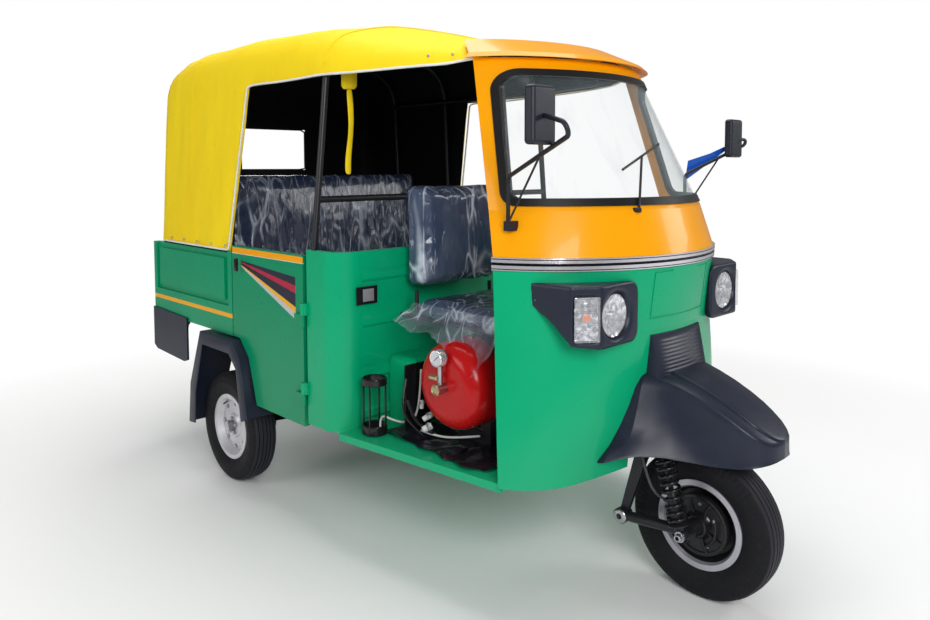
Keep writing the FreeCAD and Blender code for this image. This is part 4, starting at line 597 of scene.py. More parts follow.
def rows_mesh(rows):
    """The first row drawn, each further row extruded from the last and moved to its place."""
    drawn(rows[0])
    bpy.ops.mesh.select_all(action="SELECT")
    for before, after in zip(rows, rows[1:]):
        bpy.ops.mesh.extrude_region_move()
        data = active().data
        edit = bmesh.from_edit_mesh(data)
        places = {tuple(round(c, 5) for c in p): index for index, p in enumerate(before)}
        for vertex in edit.verts:
            if vertex.select:
                vertex.co = after[places[tuple(round(c, 5) for c in vertex.co)]]
        bmesh.update_edit_mesh(data)
    return tidy_mesh()


def lofted(name, rows, finish, body, thickness=0.0, rounds=0, degrees=40):
    """A skin over rows of points, given a thickness and rounded as asked."""
    made = rows_mesh(rows)
    if thickness:
        modify(made, "SOLIDIFY", thickness=thickness, offset=-1)
    if rounds:
        modify(made, "SUBSURF", levels=rounds, render_levels=rounds)
    return smooth(settle(made, name, finish, body), degrees)


def block(name, low, high, finish, body, soft=0.002):
    """A box with softened edges between two corners."""
    low, high = Vector(low), Vector(high)
    bpy.ops.mesh.primitive_cube_add(size=1, location=(low + high) / 2, scale=high - low)
    bpy.ops.object.transform_apply(location=True, rotation=True, scale=True)
    bpy.ops.object.mode_set(mode="EDIT")
    bpy.ops.mesh.select_all(action="SELECT")
    bpy.ops.mesh.bevel(offset=soft, segments=2, affect="EDGES")
    made = tidy_mesh(0.00001)
    return smooth(settle(made, name, finish, body), 40)


def mirrored(line):
    """The same line on the other side, from its far end back."""
    return [Vector((-p.x, p.y, p.z)) for p in reversed(line)]


def spoke(turn):
    """The direction at an angle round a wheel's axis."""
    return Vector((0, math.cos(turn), math.sin(turn)))


def bar(name, start, end, radius, finish, body, soft=0.001, sides=20, slot=None):
    """A round bar, or a bolt's head where it has six sides, with softened ends."""
    start, end = Vector(start), Vector(end)
    bpy.ops.mesh.primitive_cylinder_add(vertices=sides, radius=radius, depth=(end - start).length,
                                        location=(start + end) / 2,
                                        rotation=(end - start).to_track_quat("Z", "Y").to_euler())
    bpy.ops.object.transform_apply(location=True, rotation=True, scale=True)
    bpy.ops.object.mode_set(mode="EDIT")
    bpy.ops.mesh.select_mode(type="EDGE")
    bpy.ops.mesh.select_all(action="DESELECT")
    bpy.ops.mesh.edges_select_sharp(sharpness=math.radians(62))
    bpy.ops.mesh.bevel(offset=soft, segments=2, affect="EDGES")
    made = tidy_mesh(0.00001)
    return smooth(settle(made, name, finish, body), 35)


# Camera, light and floor

def camera():
    """The photo's view, fitted to the tyres and the cab's corners; metres and degrees."""
    place, yaw, pitch, roll = (-2.26124, -2.35957, 1.37875), 43.350, 3.370, -0.201
    data = bpy.data.cameras.new("photo_camera")
    data.lens, data.shift_x, data.shift_y = 29.341, 0.0238, -0.1032
    made = placed("photo_camera", data)
    yaw, pitch = math.radians(yaw), math.radians(pitch)
    look = Vector((math.sin(yaw) * math.cos(pitch), math.cos(yaw) * math.cos(pitch), -math.sin(pitch)))
    made.location = place
    made.rotation_mode = "QUATERNION"
    made.rotation_quaternion = look.to_track_quat("-Z", "Y") @ Quaternion((0, 0, 1), math.radians(roll))
    bpy.context.scene.camera = made


def lamp(name, place, aim, size, power):
    data = bpy.data.lights.new(name, "AREA")
    data.shape = "RECTANGLE"
    data.size, data.size_y = size
    data.energy = power
    made = placed(name, data)
    made.location = place
    made.rotation_mode = "QUATERNION"
    made.rotation_quaternion = (Vector(aim) - Vector(place)).to_track_quat("-Z", "Y")


def studio():
    world = bpy.data.worlds.new("pale_room")
    bpy.context.scene.world = world
    world.use_nodes = True
    tree = world.node_tree
    ray = tree.nodes.new("ShaderNodeLightPath")
    seen = Flow(ray.outputs["Is Camera Ray"]) + Flow(ray.outputs["Is Transmission Ray"])
    back = tree.nodes["Background"]
    plug(back.inputs["Color"], (1.0, 1.0, 1.0))
    plug(back.inputs["Strength"], 0.24 + seen.math("MINIMUM", 1) * 0.76)
    for name, place, aim, size, power in (
            ("overhead", (0.3, 0.2, 4.6), (0, 0.1, 0.8), (3.6, 2.6), 130),
            ("front_right", (-2.6, -4.0, 2.6), (0, -0.5, 0.9), (1.8, 1.6), 112),
            ("front_left", (3.2, -3.4, 2.6), (0, -0.4, 0.9), (1.6, 1.4), 46),
            ("right_side", (-4.6, 0.9, 2.2), (0, 0.5, 0.9), (2.2, 1.6), 46),
            ("rear", (1.5, 4.4, 2.8), (0, 0.5, 1.0), (3.0, 1.6), 45)):
        lamp(name, place, aim, size, power)
    bpy.ops.mesh.primitive_plane_add(size=60, location=(0, 0, 0))
    floor = active()
    floor.name = "floor"
    paper = Finish("floor_paper", (0.93, 0.93, 0.93), 0.9)
    paper.raised(paper.cloud(0.004, 3), 0.0002, 0.2)
    x, y = paper.axes()[:2]
    far = (x * x + y * y).math("SQRT").soft(1.5, 3.4)
    ray = paper.tree.nodes.new("ShaderNodeLightPath")
    white = paper.add("Emission", color=(1, 1, 1), strength=1.0)
    blend = paper.tree.nodes.new("ShaderNodeMixShader")
    plug(blend.inputs[0], far * Flow(ray.outputs["Is Camera Ray"]))
    paper.tree.links.new(blend.inputs[1], paper.shader.outputs[0])
    paper.tree.links.new(blend.inputs[2], white.socket)
    paper.tree.links.new(paper.tree.nodes["Material Output"].inputs[0], blend.outputs[0])
    floor.data.materials.append(paper.material)


camera()
studio()
bpy.context.scene.view_settings.view_transform = "Standard"


# Canvas hood

hood_at = (575.0, 850.0, 1215.0, 1500.0, 2050.0, 2460.0, 2568.0, 2612.0, 2627.0)
hood_eaves = (452.0, 560.0, 634.0, 650.0, 652.0, 648.0, 636.0, 613.0, 566.0)
hood_feet = (500.0, 610.0, 668.0, 694.0, 695.0, 692.0, 678.0, 655.0, 600.0)
hood_crowns = (1828.0, 1885.0, 1962.0, 2002.0, 2015.0, 2003.0, 1968.0, 1900.0, 1815.0)
hood_drops = (62.0, 82.0, 98.0, 98.0, 102.0, 102.0, 98.0, 92.0, 82.0)


def at_setback(values, setback):
    """A value of the hood at one place along it, in millimetres."""
    for index in range(len(hood_at) - 1):
        if setback <= hood_at[index + 1] or index == len(hood_at) - 2:
            share = (setback - hood_at[index]) / (hood_at[index + 1] - hood_at[index])
            share = min(max(share, 0), 1)
            return values[index] + (values[index + 1] - values[index]) * share


def hood_half_arch(setback):
    """Points of half an arch from the foot to the crown, as (X, Z) in metres."""
    foot, eave = at_setback(hood_feet, setback), at_setback(hood_eaves, setback)
    crown, drop = at_setback(hood_crowns, setback), at_setback(hood_drops, setback)
    poles = [(foot, 1030.0), (foot + (eave - foot) * 0.62, 1030 + (crown - drop - 1030) * 0.62),
             (eave, crown - drop), (eave * 0.58, crown - drop * 0.15), (eave * 0.25, crown),
             (-eave * 0.25, crown)]
    data = []
    points = [Vector(p) / 1000 for p in poles]
    corners = [points[0]] + [(a + b) / 2 for a, b in zip(points[1:-1], points[2:])]
    for start, middle, end in zip(corners, points[1:-1], corners[1:]):
        for step in range(12):
            t = step / 12
            data.append(start * (1 - t) ** 2 + middle * 2 * t * (1 - t) + end * t * t)
    data.append(corners[-1])
    return data


def spread(points, count):
    """The same line with points at even steps."""
    lengths = [0.0]
    for a, b in zip(points, points[1:]):
        lengths.append(lengths[-1] + (b - a).length)
    result = []
    for index in range(count):
        goal = lengths[-1] * index / (count - 1)
        k = 0
        while k < len(points) - 2 and lengths[k + 1] < goal:
            k += 1
        share = (goal - lengths[k]) / max(lengths[k + 1] - lengths[k], 1e-9)
        result.append(points[k].lerp(points[k + 1], min(max(share, 0), 1)))
    return result


hoops_at = (1215.0, 1884.0, 2310.0)


def sag(setback, share):
    """How far the canvas drops between two hoops, most over the crown."""
    stops = (575.0,) + hoops_at + (2568.0,)
    for low, high in zip(stops, stops[1:]):
        if low <= setback <= high:
            t = (setback - low) / (high - low)
            return 0.010 * math.sin(math.pi * t) ** 1.2 * (0.35 + 0.65 * share)
    return 0.0


def hood_sheet():
    """The canvas as one curved sheet, with its folds, from the visor to the rear face."""
    stations = [575, 620, 670, 730, 790, 850, 910, 970, 1030, 1090, 1150, 1215, 1280, 1345, 1410, 1475,
                1540, 1605, 1670, 1735, 1800, 1860, 1884, 1910, 1950, 2000, 2050, 2100, 2150, 2200, 2250,
                2310, 2360, 2410, 2460, 2500, 2535, 2568, 2592, 2612, 2622, 2627]
    half_count = 46
    rows = []
    for setback in stations:
        arch = spread(hood_half_arch(setback), half_count)
        line = arch + [Vector((-p.x, p.y)) for p in reversed(arch[:-1])]
        row = []
        for index, p in enumerate(line):
            across = 1 - abs(index - (len(line) - 1) / 2) / ((len(line) - 1) / 2)
            drop = sag(setback, across)
            where = Vector((p.x, along_y(setback), p.y))
            side = 1.0 - min(max((p.y - 1.62) / 0.20, 0), 1)
            lean = where.y + (p.y - 1.0) * 0.18
            ripple = drift(lean * 8.0, p.x * 2, where.z * 1.1) * 0.010 * side
            ripple += drift(lean * 23.0, p.x * 2, where.z * 1.8) * 0.0036 * side
            outward = Vector((p.x, 0, (p.y - 1.3) if p.y > 1.8 else 0)).normalized()
            row.append(where + outward * (ripple - 0.004 - drop))
        rows.append(row)
    for share in (0.66, 0.33, 0.0):
        rows.append([Vector((p.x * share, p.y + 0.0002, p.z)) for p in rows[len(stations) - 1]])
    return rows_mesh(rows)


def hood_x(setback, height):
    """Half the hood's width in metres at one place along it and one height."""
    arch = hood_half_arch(setback)
    for a, b in zip(arch, arch[1:]):
        if a.y <= height <= b.y:
            return a.x + (b.x - a.x) * (height - a.y) / max(b.y - a.y, 1e-6)
    return arch[0].x


def hood_edge(stand_off=0.002):
    """The canvas's free edge on the left side, from the visor round the opening to the rear face."""
    line = []
    for setback, height in ((612, 1.745), (655, 1.739), (700, 1.732), (800, 1.731), (950, 1.729),
                            (1100, 1.729), (1214, 1.733), (1350, 1.728), (1500, 1.726), (1640, 1.730),
                            (1700, 1.728), (1722, 1.722), (1727, 1.705), (1745, 1.60), (1765, 1.49),
                            (1786, 1.38), (1806, 1.27), (1824, 1.17), (1838, 1.09), (1847, 1.045),
                            (1853, 1.036), (1875, 1.034), (2000, 1.034), (2200, 1.034), (2400, 1.034),
                            (2500, 1.034)):
        line.append(Vector((hood_x(setback, height) + stand_off, along_y(setback), height)))
    return line


def cut_opening(made):
    """Cuts the side openings and the rear window along their own lines."""
    edit = bmesh.new()
    edit.from_mesh(made.data)
    eaves, visor_back, rear_face = 1.731, -0.5, 1.38
    pane_side, pane_low, pane_high = 0.205, 1.38, 1.61
    pole = Vector((0, 0.522, 1.732)), Vector((0, 0.984, 0.1795))
    visor = Vector((0, visor_back, 1.732)), Vector((0, 0.139, 0.990))
    across, along, up = (1, 0, 0), (0, 1, 0), (0, 0, 1)
    for place, normal in (((0, 0, eaves), up), pole, visor, ((pane_side, 0, 0), across), ((-pane_side, 0, 0), across),
                          ((0, 0, pane_low), up), ((0, 0, pane_high), up), ((0, visor_back, 0), along)):
        bmesh.ops.bisect_plane(edit, geom=edit.verts[:] + edit.edges[:] + edit.faces[:], dist=0.0005,
                               plane_co=place, plane_no=normal)
    gone = []
    for face in edit.faces:
        c = face.calc_center_median()
        past_pole, under_visor = (c - pole[0]).dot(pole[1]) > 0, (c - visor[0]).dot(visor[1]) < 0
        side = c.z < eaves and c.y > visor_back and not past_pole
        window = c.y > rear_face and abs(c.x) < pane_side and pane_low < c.z < pane_high
        if side or (c.y < visor_back and under_visor) or window:
            gone.append(face)
    bmesh.ops.delete(edit, geom=gone, context="FACES")
    bmesh.ops.remove_doubles(edit, verts=edit.verts, dist=0.0004)
    bmesh.ops.recalc_face_normals(edit, faces=edit.faces)
    edit.normal_update()
    crown = max(edit.faces, key=lambda f: f.calc_center_median().z)
    if crown.normal.z < 0:
        bmesh.ops.reverse_faces(edit, faces=edit.faces)
    area = sum(face.calc_area() for face in edit.faces)
    edit.to_mesh(made.data)
    edit.free()
    return area


def canvas_hood():
    made = hood_sheet()
    area = cut_opening(made)
    for finish in (canvas, lining):
        made.data.materials.append(finish.material)
    modify(made, "SOLIDIFY", thickness=0.003, offset=-1, material_offset=1)
    made = settle(made, "hood_canvas", [canvas, lining], "body")
    smooth(made, 60)
    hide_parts("hood")
    hems = []
    for side in (1, -1):
        line = [Vector((p.x * side, p.y, p.z)) for p in hood_edge()]
        hems.append(tube("hood_piping", line, 0.0045, white_trim, "body", 2))
    around = [Vector((x, 1.428, z)) for x, z in ((-0.205, 1.38), (0.205, 1.38), (0.205, 1.61),
                                                 (-0.205, 1.61), (-0.205, 1.38))]
    tube("window_hem", around, 0.005, rubber, "body", 2, 2, slot="canvas")
    piping = joined(hems, "hood_piping")
    seam_at = hoops_at[0]
    ring = [p for p in spread(hood_half_arch(seam_at), 30) if p.y > 1.74]
    line = [Vector((p.x - 0.001, along_y(seam_at), p.y - 0.001)) for p in ring]
    line += mirrored(line[:-1])
    seam = tube("hood_seams", line, 0.0026, canvas, "body", 1)
    parts = []
    for side in (1, -1):
        for setback, height in [(at, 1.052) for at in (1880, 2010, 2150, 2290, 2430)] + [
                (at, 1.765) for at in (628, 690, 770)]:
            place = (side * (hood_x(setback, height) + 0.0025), along_y(setback), height)
            bpy.ops.mesh.primitive_uv_sphere_add(segments=12, ring_count=6, radius=0.006, location=place)
            active().scale = (0.55, 1, 1)
            parts.append(settle(active(), "hood_stud", steel, "body"))
    studs = smooth(joined(parts, "hood_studs"), 60)


# Cushions in their clear film

def cushion(name, node, shrink, voxel, cap, finish):
    """A stuffed cover that starts a little inside its CAD solid and is blown up against it."""
    made = cad_copy(node, name, 0.0001)
    low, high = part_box(node)
    middle, size = (low + high) / 2, high - low
    for vertex in made.data.vertices:
        for axis in range(3):
            scale = 1 - 2 * shrink / size[axis]
            vertex.co[axis] = middle[axis] + (vertex.co[axis] - middle[axis]) * scale
    modify(made, "REMESH", mode="VOXEL", voxel_size=voxel)
    before = [v.co.copy() for v in made.data.vertices]
    cloth = made.modifiers.new("cover", "CLOTH")
    cloth.settings.use_pressure = True
    cloth.settings.uniform_pressure_force = 4
    cloth.settings.effector_weights.gravity = 0
    cloth.settings.quality = 4
    cloth.settings.tension_stiffness = 12
    cloth.settings.bending_stiffness = 0.4
    for step in range(1, 21):
        bpy.context.scene.frame_set(step)
    take(made)
    bpy.ops.object.modifier_apply(modifier="cover")
    bpy.context.scene.frame_set(1)
    for vertex, start in zip(made.data.vertices, before):
        move = vertex.co - start
        if move.length > cap:
            move = move.normalized() * cap
        vertex.co = start + move
    for vertex in made.data.vertices:
        p = vertex.co
        wrinkle = drift(p.x * 11, p.y * 11, p.z * 5) * 0.0035
        wrinkle += abs(drift(p.x * 24 + 5, p.y * 24, p.z * 12)) * 0.0030
        vertex.co = p - (p - middle).normalized() * wrinkle
    made = settle(made, name, finish, "body")
    modify(made, "SUBSURF", levels=1, render_levels=1)
    for vertex in made.data.vertices:
        for axis in range(3):
            vertex.co[axis] = min(max(vertex.co[axis], low[axis] - 0.006), high[axis] + 0.006)
    smooth(made, 180)
    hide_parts(node)
    return made


def seats():
    cushion("bench_seat_cover", "bench_cushion", 0.010, 0.010, 0.012, film)
    cushion("bench_back_cover", "bench_back", 0.010, 0.010, 0.012, film)
    cushion("driver_seat_cover", "driver_seat_cushion", 0.008, 0.007, 0.010, film_painted_lighter)
    cushion("driver_back_cover", "driver_seat_back", 0.009, 0.007, 0.012, film_painted_lighter)


# Wheels

def tyre_section():
    """Half a tyre from the bead over the sidewall to the middle groove, as (across, radius)."""
    side = [(0.0415, 0.1362), (0.0418, 0.1440), (0.0455, 0.1490), (0.0490, 0.1560), (0.0530, 0.1640),
            (0.0535, 0.1655), (0.0560, 0.1720), (0.0578, 0.1800), (0.0588, 0.1885), (0.0589, 0.1960),
            (0.0592, 0.1995), (0.0586, 0.2005), (0.0578, 0.2075), (0.0560, 0.2160), (0.0535, 0.2235),
            (0.0505, 0.2290), (0.0478, 0.2325), (0.0455, 0.2340)]
    tread = [(0.0375, 0.2362), (0.0370, 0.2318), (0.0335, 0.2318), (0.0330, 0.2376), (0.0185, 0.2390),
             (0.0180, 0.2340), (0.0145, 0.2340), (0.0140, 0.2394), (0.0030, 0.2399), (0.0024, 0.2350)]
    return side + tread


def wheels():
    half = tyre_section()
    ring = [(r, a) for a, r in half] + [(r, -a) for a, r in reversed(half)]
    for node, body in (("front_tyre", "front_wheel"), ("rear_tyre_right", "rear_wheel_right"),
                       ("rear_tyre_left", "rear_wheel_left")):
        low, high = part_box(node)
        middle, name = (low + high) / 2, node + "_ribbed"
        finish = tyre_finish(name + "_rubber", middle)
        made = turned(name, ring + ring[:1], middle, (1, 0, 0), 96, finish, body, slot="tyre")
        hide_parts(node)


# Front mudguard, damper and front wheel

def guard_row(setback, ridge, ridge_x, half, rim):
    """One section of the mudguard from the right rim over the strip to the left rim."""
    right = [(half + 0.003, rim - 0.001), (half, rim + 0.006)]
    inner = max(ridge_x - 0.006, 0)
    rear = min(max((setback - 0.03) / 0.095, 0), 1)
    for t, share in ((0.16, 0.76), (0.36, 0.56), (0.60, 0.40), (0.84, 0.28), (0.96, 0.14)):
        out = (1 - t) ** 2.1 * (1 - rear) + share * rear
        right.append((ridge_x + (half - ridge_x) * out, rim + (ridge - rim) * t))
    strip = ridge_x * 0.56
    right += [(max(ridge_x - 0.003, 0), ridge), (inner, ridge + 0.0025), (strip * 1.16, ridge + 0.0065),
              (strip * 1.03, ridge + 0.007), (strip * 1.00, ridge + 0.0135), (strip * 0.93, ridge + 0.0145),
              (strip * 0.4, ridge + 0.0155)]
    if half < 0.001:
        right = [(0.0, z + 0.00002 * index) for index, (x, z) in enumerate(right)]
    row = [Vector((-x, setback + front_axle, z)) for x, z in right]
    if half < 0.001:
        return row + [Vector((0.0, p.y - 0.00004, p.z)) for p in reversed(row)]
    return row + mirrored(row)


def mudguard():
    stations = [(0.300, 0.760, 0.152, 0.336, 0.464), (0.240, 0.750, 0.151, 0.335, 0.465),
                (0.200, 0.741, 0.150, 0.334, 0.466), (0.165, 0.734, 0.150, 0.330, 0.474),
                (0.125, 0.727, 0.150, 0.298, 0.490), (0.085, 0.717, 0.148, 0.262, 0.498),
                (0.030, 0.701, 0.143, 0.212, 0.496), (-0.030, 0.680, 0.136, 0.170, 0.488),
                (-0.085, 0.656, 0.129, 0.146, 0.485), (-0.130, 0.633, 0.122, 0.131, 0.487),
                (-0.165, 0.611, 0.115, 0.121, 0.491), (-0.195, 0.592, 0.104, 0.108, 0.497),
                (-0.217, 0.577, 0.088, 0.091, 0.503), (-0.233, 0.566, 0.066, 0.069, 0.508),
                (-0.243, 0.559, 0.040, 0.043, 0.512), (-0.247, 0.556, 0.0, 0.0, 0.514)]
    made = lofted("front_guard", [guard_row(*s) for s in stations], plastic_fender, "body", 0.004, 0, 60)
    cowl = cad_copy("front_cowl", "cowl_cutter")
    modify(made, "BOOLEAN", operation="DIFFERENCE", solver="EXACT", object=cowl)
    bpy.data.objects.remove(cowl)
    take(made)
    bpy.ops.object.mode_set(mode="EDIT")
    bpy.ops.mesh.select_mode(type="VERT")
    bpy.ops.mesh.select_all(action="DESELECT")
    edit = bmesh.from_edit_mesh(made.data)
    tip = min(edit.verts, key=lambda v: v.co.y)
    tip.select = True
    bmesh.update_edit_mesh(made.data)
    bpy.ops.mesh.select_linked()
    bpy.ops.mesh.select_all(action="INVERT")
    bpy.ops.mesh.delete(type="VERT")
    made = smooth(tidy_mesh(0.00002), 34)
    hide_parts("front_mudguard")


def skin_at(node, x, z):
    """Where a line from the front meets a CAD node."""
    return nodes[node].ray_cast(Vector((x, -3, z)), Vector((0, 1, 0)))[1].y


def ribbed_block():
    """Wedge between nose and mudguard with its fine ribs."""
    rows = []
    low, high, steps = 0.706, 0.850, 24
    for index in range(steps + 1):
        t = index / steps
        z = low + (high - low) * t
        rib = 0.0022 if 1 < index < steps - 1 and index % 2 else 0.0
        corner = 0.084 + 0.029 * t + front_axle
        back = skin_at("front_cowl", 0.150, z) + 0.004
        half = []
        for x in (0.150, 0.149, 0.143, 0.132, 0.088, 0.044):
            bulge = 0.012 * (1 - (x / 0.15) ** 2)
            front = min(corner - bulge, skin_at("front_cowl", x, z) - 0.003)
            half.append((x, front + (rib if x < 0.14 else 0) + (0.003 if x == 0.150 else 0)))
        row = [Vector((-0.150, back, z))] + [Vector((-x, y, z)) for x, y in half]
        row += [Vector((0, half[-1][1] - 0.001, z))] + [Vector((x, y, z)) for x, y in reversed(half)]
        rows.append(row + [Vector((0.150, back, z))])
    cap = [Vector((p.x, max(p.y, skin_at("front_cowl", p.x, high) + 0.002), p.z + 0.003)) for p in rows[-1]]
    made = lofted("ribbed_block", rows + [cap], plastic_fender, "body", 0.0, 0, 28)
    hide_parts("mudguard_bridge")


def coil(name, low, high, radius, wire, turns, finish, body):
    """A helical spring with closed ends between two points."""
    low, high = Vector(low), Vector(high)
    axis = (high - low).normalized()
    side = axis.orthogonal().normalized()
    other = axis.cross(side)
    points = []
    count = int(turns * 14)
    for index in range(count + 1):
        t = index / count
        rise = t - 0.45 / turns / (2 * math.pi) * math.sin(2 * math.pi * t)
        angle = 2 * math.pi * turns * t
        around = side * math.cos(angle) * radius + other * math.sin(angle) * radius
        points.append(low + (high - low) * rise + around)
    return tube(name, points, wire, finish, body, 3, 4)


def front_spring():
    x = -0.142
    low, high = Vector((x, -1.185, 0.262)), Vector((x, -1.122, 0.505))
    along = (high - low).normalized()
    black = (paint_black, "steering")
    bar("damper_rod", low, high, 0.0085, gloss_black, "steering", 0.001, 24)
    bar("damper_tube", low - along * 0.012, low + along * 0.105, 0.0165, *black)
    seat = [(0.010, 0), (0.031, 0), (0.032, 0.004), (0.024, 0.010), (0.010, 0.012)]
    turned("spring_seat_low", seat, low + along * 0.002, along, 32, *black)
    seat = [(0.010, 0), (0.022, 0.0), (0.032, 0.008), (0.031, 0.012), (0.010, 0.012)]
    turned("spring_seat_high", seat, high - along * 0.024, along, 32, *black)
    for place, far in ((Vector((x, front_axle, axle_height)), -0.1313), (high, -0.1143)):
        bar("damper_eye", place - Vector((0.016, 0, 0)), (far - 0.0004, place.y, place.z), 0.0150, *black)
    bar("eye_bolt", (x - 0.024, high.y, high.z), (x - 0.015, high.y, high.z), 0.0085, steel, "steering",
        0.001, 6)
    spring = coil("front_coil", low + along * 0.014, high - along * 0.024, 0.0272, 0.0056, 9.6, gloss_black,
                  "steering")
    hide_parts("front_damper")
    nut = [(0.0065, 0.0), (0.0065, 0.022), (0.0100, 0.022), (0.0115, 0.020), (0.0120, 0.008), (0.0165, 0.008),
           (0.0165, 0.0)]
    turned("axle_nut", nut, (-0.1582, front_axle, axle_height), (-1, 0, 0), 32, steel, "steering")
    ring = [(0.010, 0.0), (0.010, 0.006), (0.019, 0.006), (0.0235, 0.003), (0.0245, 0.0)]
    turned("link_pivot_cap", ring, (-0.1303, -0.962, 0.216), (-1, 0, 0), 32, steel, "steering")


def brake_plate():
    """What is bolted and cast on the brake plate's outer face."""
    face = -0.0456
    hub = Vector((face, front_axle, axle_height))
    black = (gloss_black, "steering")
    rim = [(0.084, 0.0), (0.086, 0.0045), (0.092, 0.0055), (0.0970, 0.004), (0.0975, 0.0)]
    turned("brake_plate_rim", rim, hub, (-1, 0, 0), 72, *black)
    boss = [(0.028, 0.0), (0.028, 0.020), (0.034, 0.018), (0.040, 0.006), (0.046, 0.0)]
    turned("brake_plate_boss", boss, hub, (-1, 0, 0), 48, *black)
    ribs = []
    for angle in (-62, -20, 24, 68, 118, 205, 250):
        out = spoke(math.radians(angle))
        line = [hub + out * radius - Vector((rise, 0, 0)) for radius, rise in (
            (0.040, 0.003), (0.064, 0.006), (0.086, 0.002))]
        ribs.append(tube("plate_rib", line, 0.0042, *black, 2))
    joined(ribs, "brake_plate_ribs")
    heads = []
    for angle, radius, size in ((40, 0.068, 0.0065), (-38, 0.070, 0.0065), (150, 0.062, 0.0055), (-120, 0.066, 0.0065),
                                (95, 0.072, 0.0055)):
        place = hub + spoke(math.radians(angle)) * radius
        heads.append(bar("plate_bolt", place, place - Vector((0.008, 0, 0)), size, steel, "steering", 0.0008, 6))
    joined(heads, "brake_plate_bolts")
    lever = [hub + Vector(p) for p in ((-0.010, -0.030, -0.058), (-0.012, -0.052, -0.040),
                                       (-0.013, -0.066, -0.008), (-0.014, -0.062, 0.030))]
    tube("brake_lever", lever, 0.0048, *black, 3)


def wheel_nuts():
    for side, body in ((-1, "rear_wheel_right"), (1, "rear_wheel_left")):
        out = Vector((side, 0, 0))
        hub = Vector((side * 0.6622, rear_axle, axle_height))
        cap = [(0.0, 0.016), (0.012, 0.0155), (0.020, 0.0125), (0.024, 0.006), (0.0245, 0.0)]
        turned("hub_cap_" + body, cap, hub, out, 40, engine_grey, body)
        heads = []
        for index in range(5):
            place = hub + spoke(2 * math.pi * index / 5 + 0.3) * 0.0345
            heads.append(bar("wheel_nut", place, place + out * 0.011, 0.0078, steel, body, 0.0012, 6))
        joined(heads, "wheel_nuts_" + body)
        place = Vector((side * (0.631 + 0.020), hub.y + 0.055, hub.z + 0.100))
        bar("valve_" + body, place, place + out * 0.030 + Vector((0, -0.004, -0.010)), 0.0034, rubber, body,
            slot="tyre")


# Lamps

def headlamps():
    bowl = [(0.0, 0.0105), (0.012, 0.0105), (0.016, 0.0098), (0.030, 0.0085), (0.046, 0.0060), (0.058, 0.0028),
            (0.0655, 0.0)]
    shield = [(0.0, -0.0020), (0.008, 0.0), (0.0125, 0.004), (0.014, 0.0104)]
    rim = [(0.0650, 0.006), (0.0650, -0.0010), (0.0665, -0.0028), (0.0685, -0.0010), (0.0688, 0.006)]
    dome = [(0.0, -0.0085), (0.020, -0.0080), (0.040, -0.0064), (0.054, -0.0042), (0.062, -0.0020),
            (0.0652, 0.0005), (0.0640, 0.0010), (0.052, -0.0015), (0.038, -0.0036), (0.0, -0.0060)]
    for side, word in both_sides:
        for name, profile, steps, finish in (("reflector_", bowl, 64, reflector), ("bulb_shield_", shield, 32, steel),
                                             ("lamp_ring_", rim, 64, plastic_black),
                                             ("lamp_lens_", dome, 64, lamp_glass)):
            made = turned(name + word, profile, (side * 0.345, -1.076, 0.940), (0, 1, 0), steps, finish, "body")
        indicator(side, word)
    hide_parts("lamp_lenses")


def indicator(side, word):
    """Ribbed clear block with an orange bulb behind it, on the bezel's turned face."""
    turn = math.radians(36)
    bend = Vector((0.421, -1.088, 0.940))
    along = Vector((math.cos(turn), math.sin(turn), 0))
    middle = bend + along * 0.048
    middle.x *= side
    onto_face = Matrix.Translation(middle) @ Matrix.Rotation(turn * side, 4, "Z")
    for label, size, depth, finish in (("indicator_back_", (0.074, 0.004, 0.128), 0.0085, reflector),
                                       ("indicator_lens_", (0.077, 0.009, 0.133), -0.004, lens_ribbed)):
        bpy.ops.mesh.primitive_cube_add(size=1, location=(0, 0, 0))
        made = active()
        made.data.transform(Matrix.Translation((0, depth, 0)) @ Matrix.Diagonal((*size, 1)))
        modify(made, "BEVEL", width=0.0035, segments=3)
        made.data.transform(onto_face)
        smooth(settle(made, label + word, finish, "body"), 40)
    bpy.ops.mesh.primitive_uv_sphere_add(segments=20, ring_count=12, radius=0.011)
    made = active()
    made.data.transform(Matrix.Translation((0, 0.0035, 0.004)) @ Matrix.Diagonal((1.3, 0.35, 1.1, 1)))
    made.data.transform(onto_face)
    smooth(settle(made, "indicator_bulb_" + word, bulb_orange, "body"), 60)


# Things in the driver's place

def floor_mat(name, edge, low, lift, seed):
    """A floppy rubber mat: rows from its outer edge inward, with wavy sides."""
    (x0, x1), (y0, y1) = edge
    rows = []
    for i in range(15):
        u = i / 14
        row = []
        for j in range(19):
            v = j / 18
            x = x0 + (x1 - x0) * u + drift(v * 4, seed, 0) * 0.035 * (1 - u)
            y = y0 + (y1 - y0) * v + drift(u * 4, seed, 5) * 0.02
            z = low + abs(drift((x + seed) / 0.09, y / 0.09, 3.7) * lift)
            z += abs(drift(x / 0.035, (y + seed) / 0.035, 3.7) * lift * 0.35)
            row.append(Vector((x, y, z)))
        rows.append(row)
    return lofted(name, rows, mat_black, "body", 0.003, 1, 60)


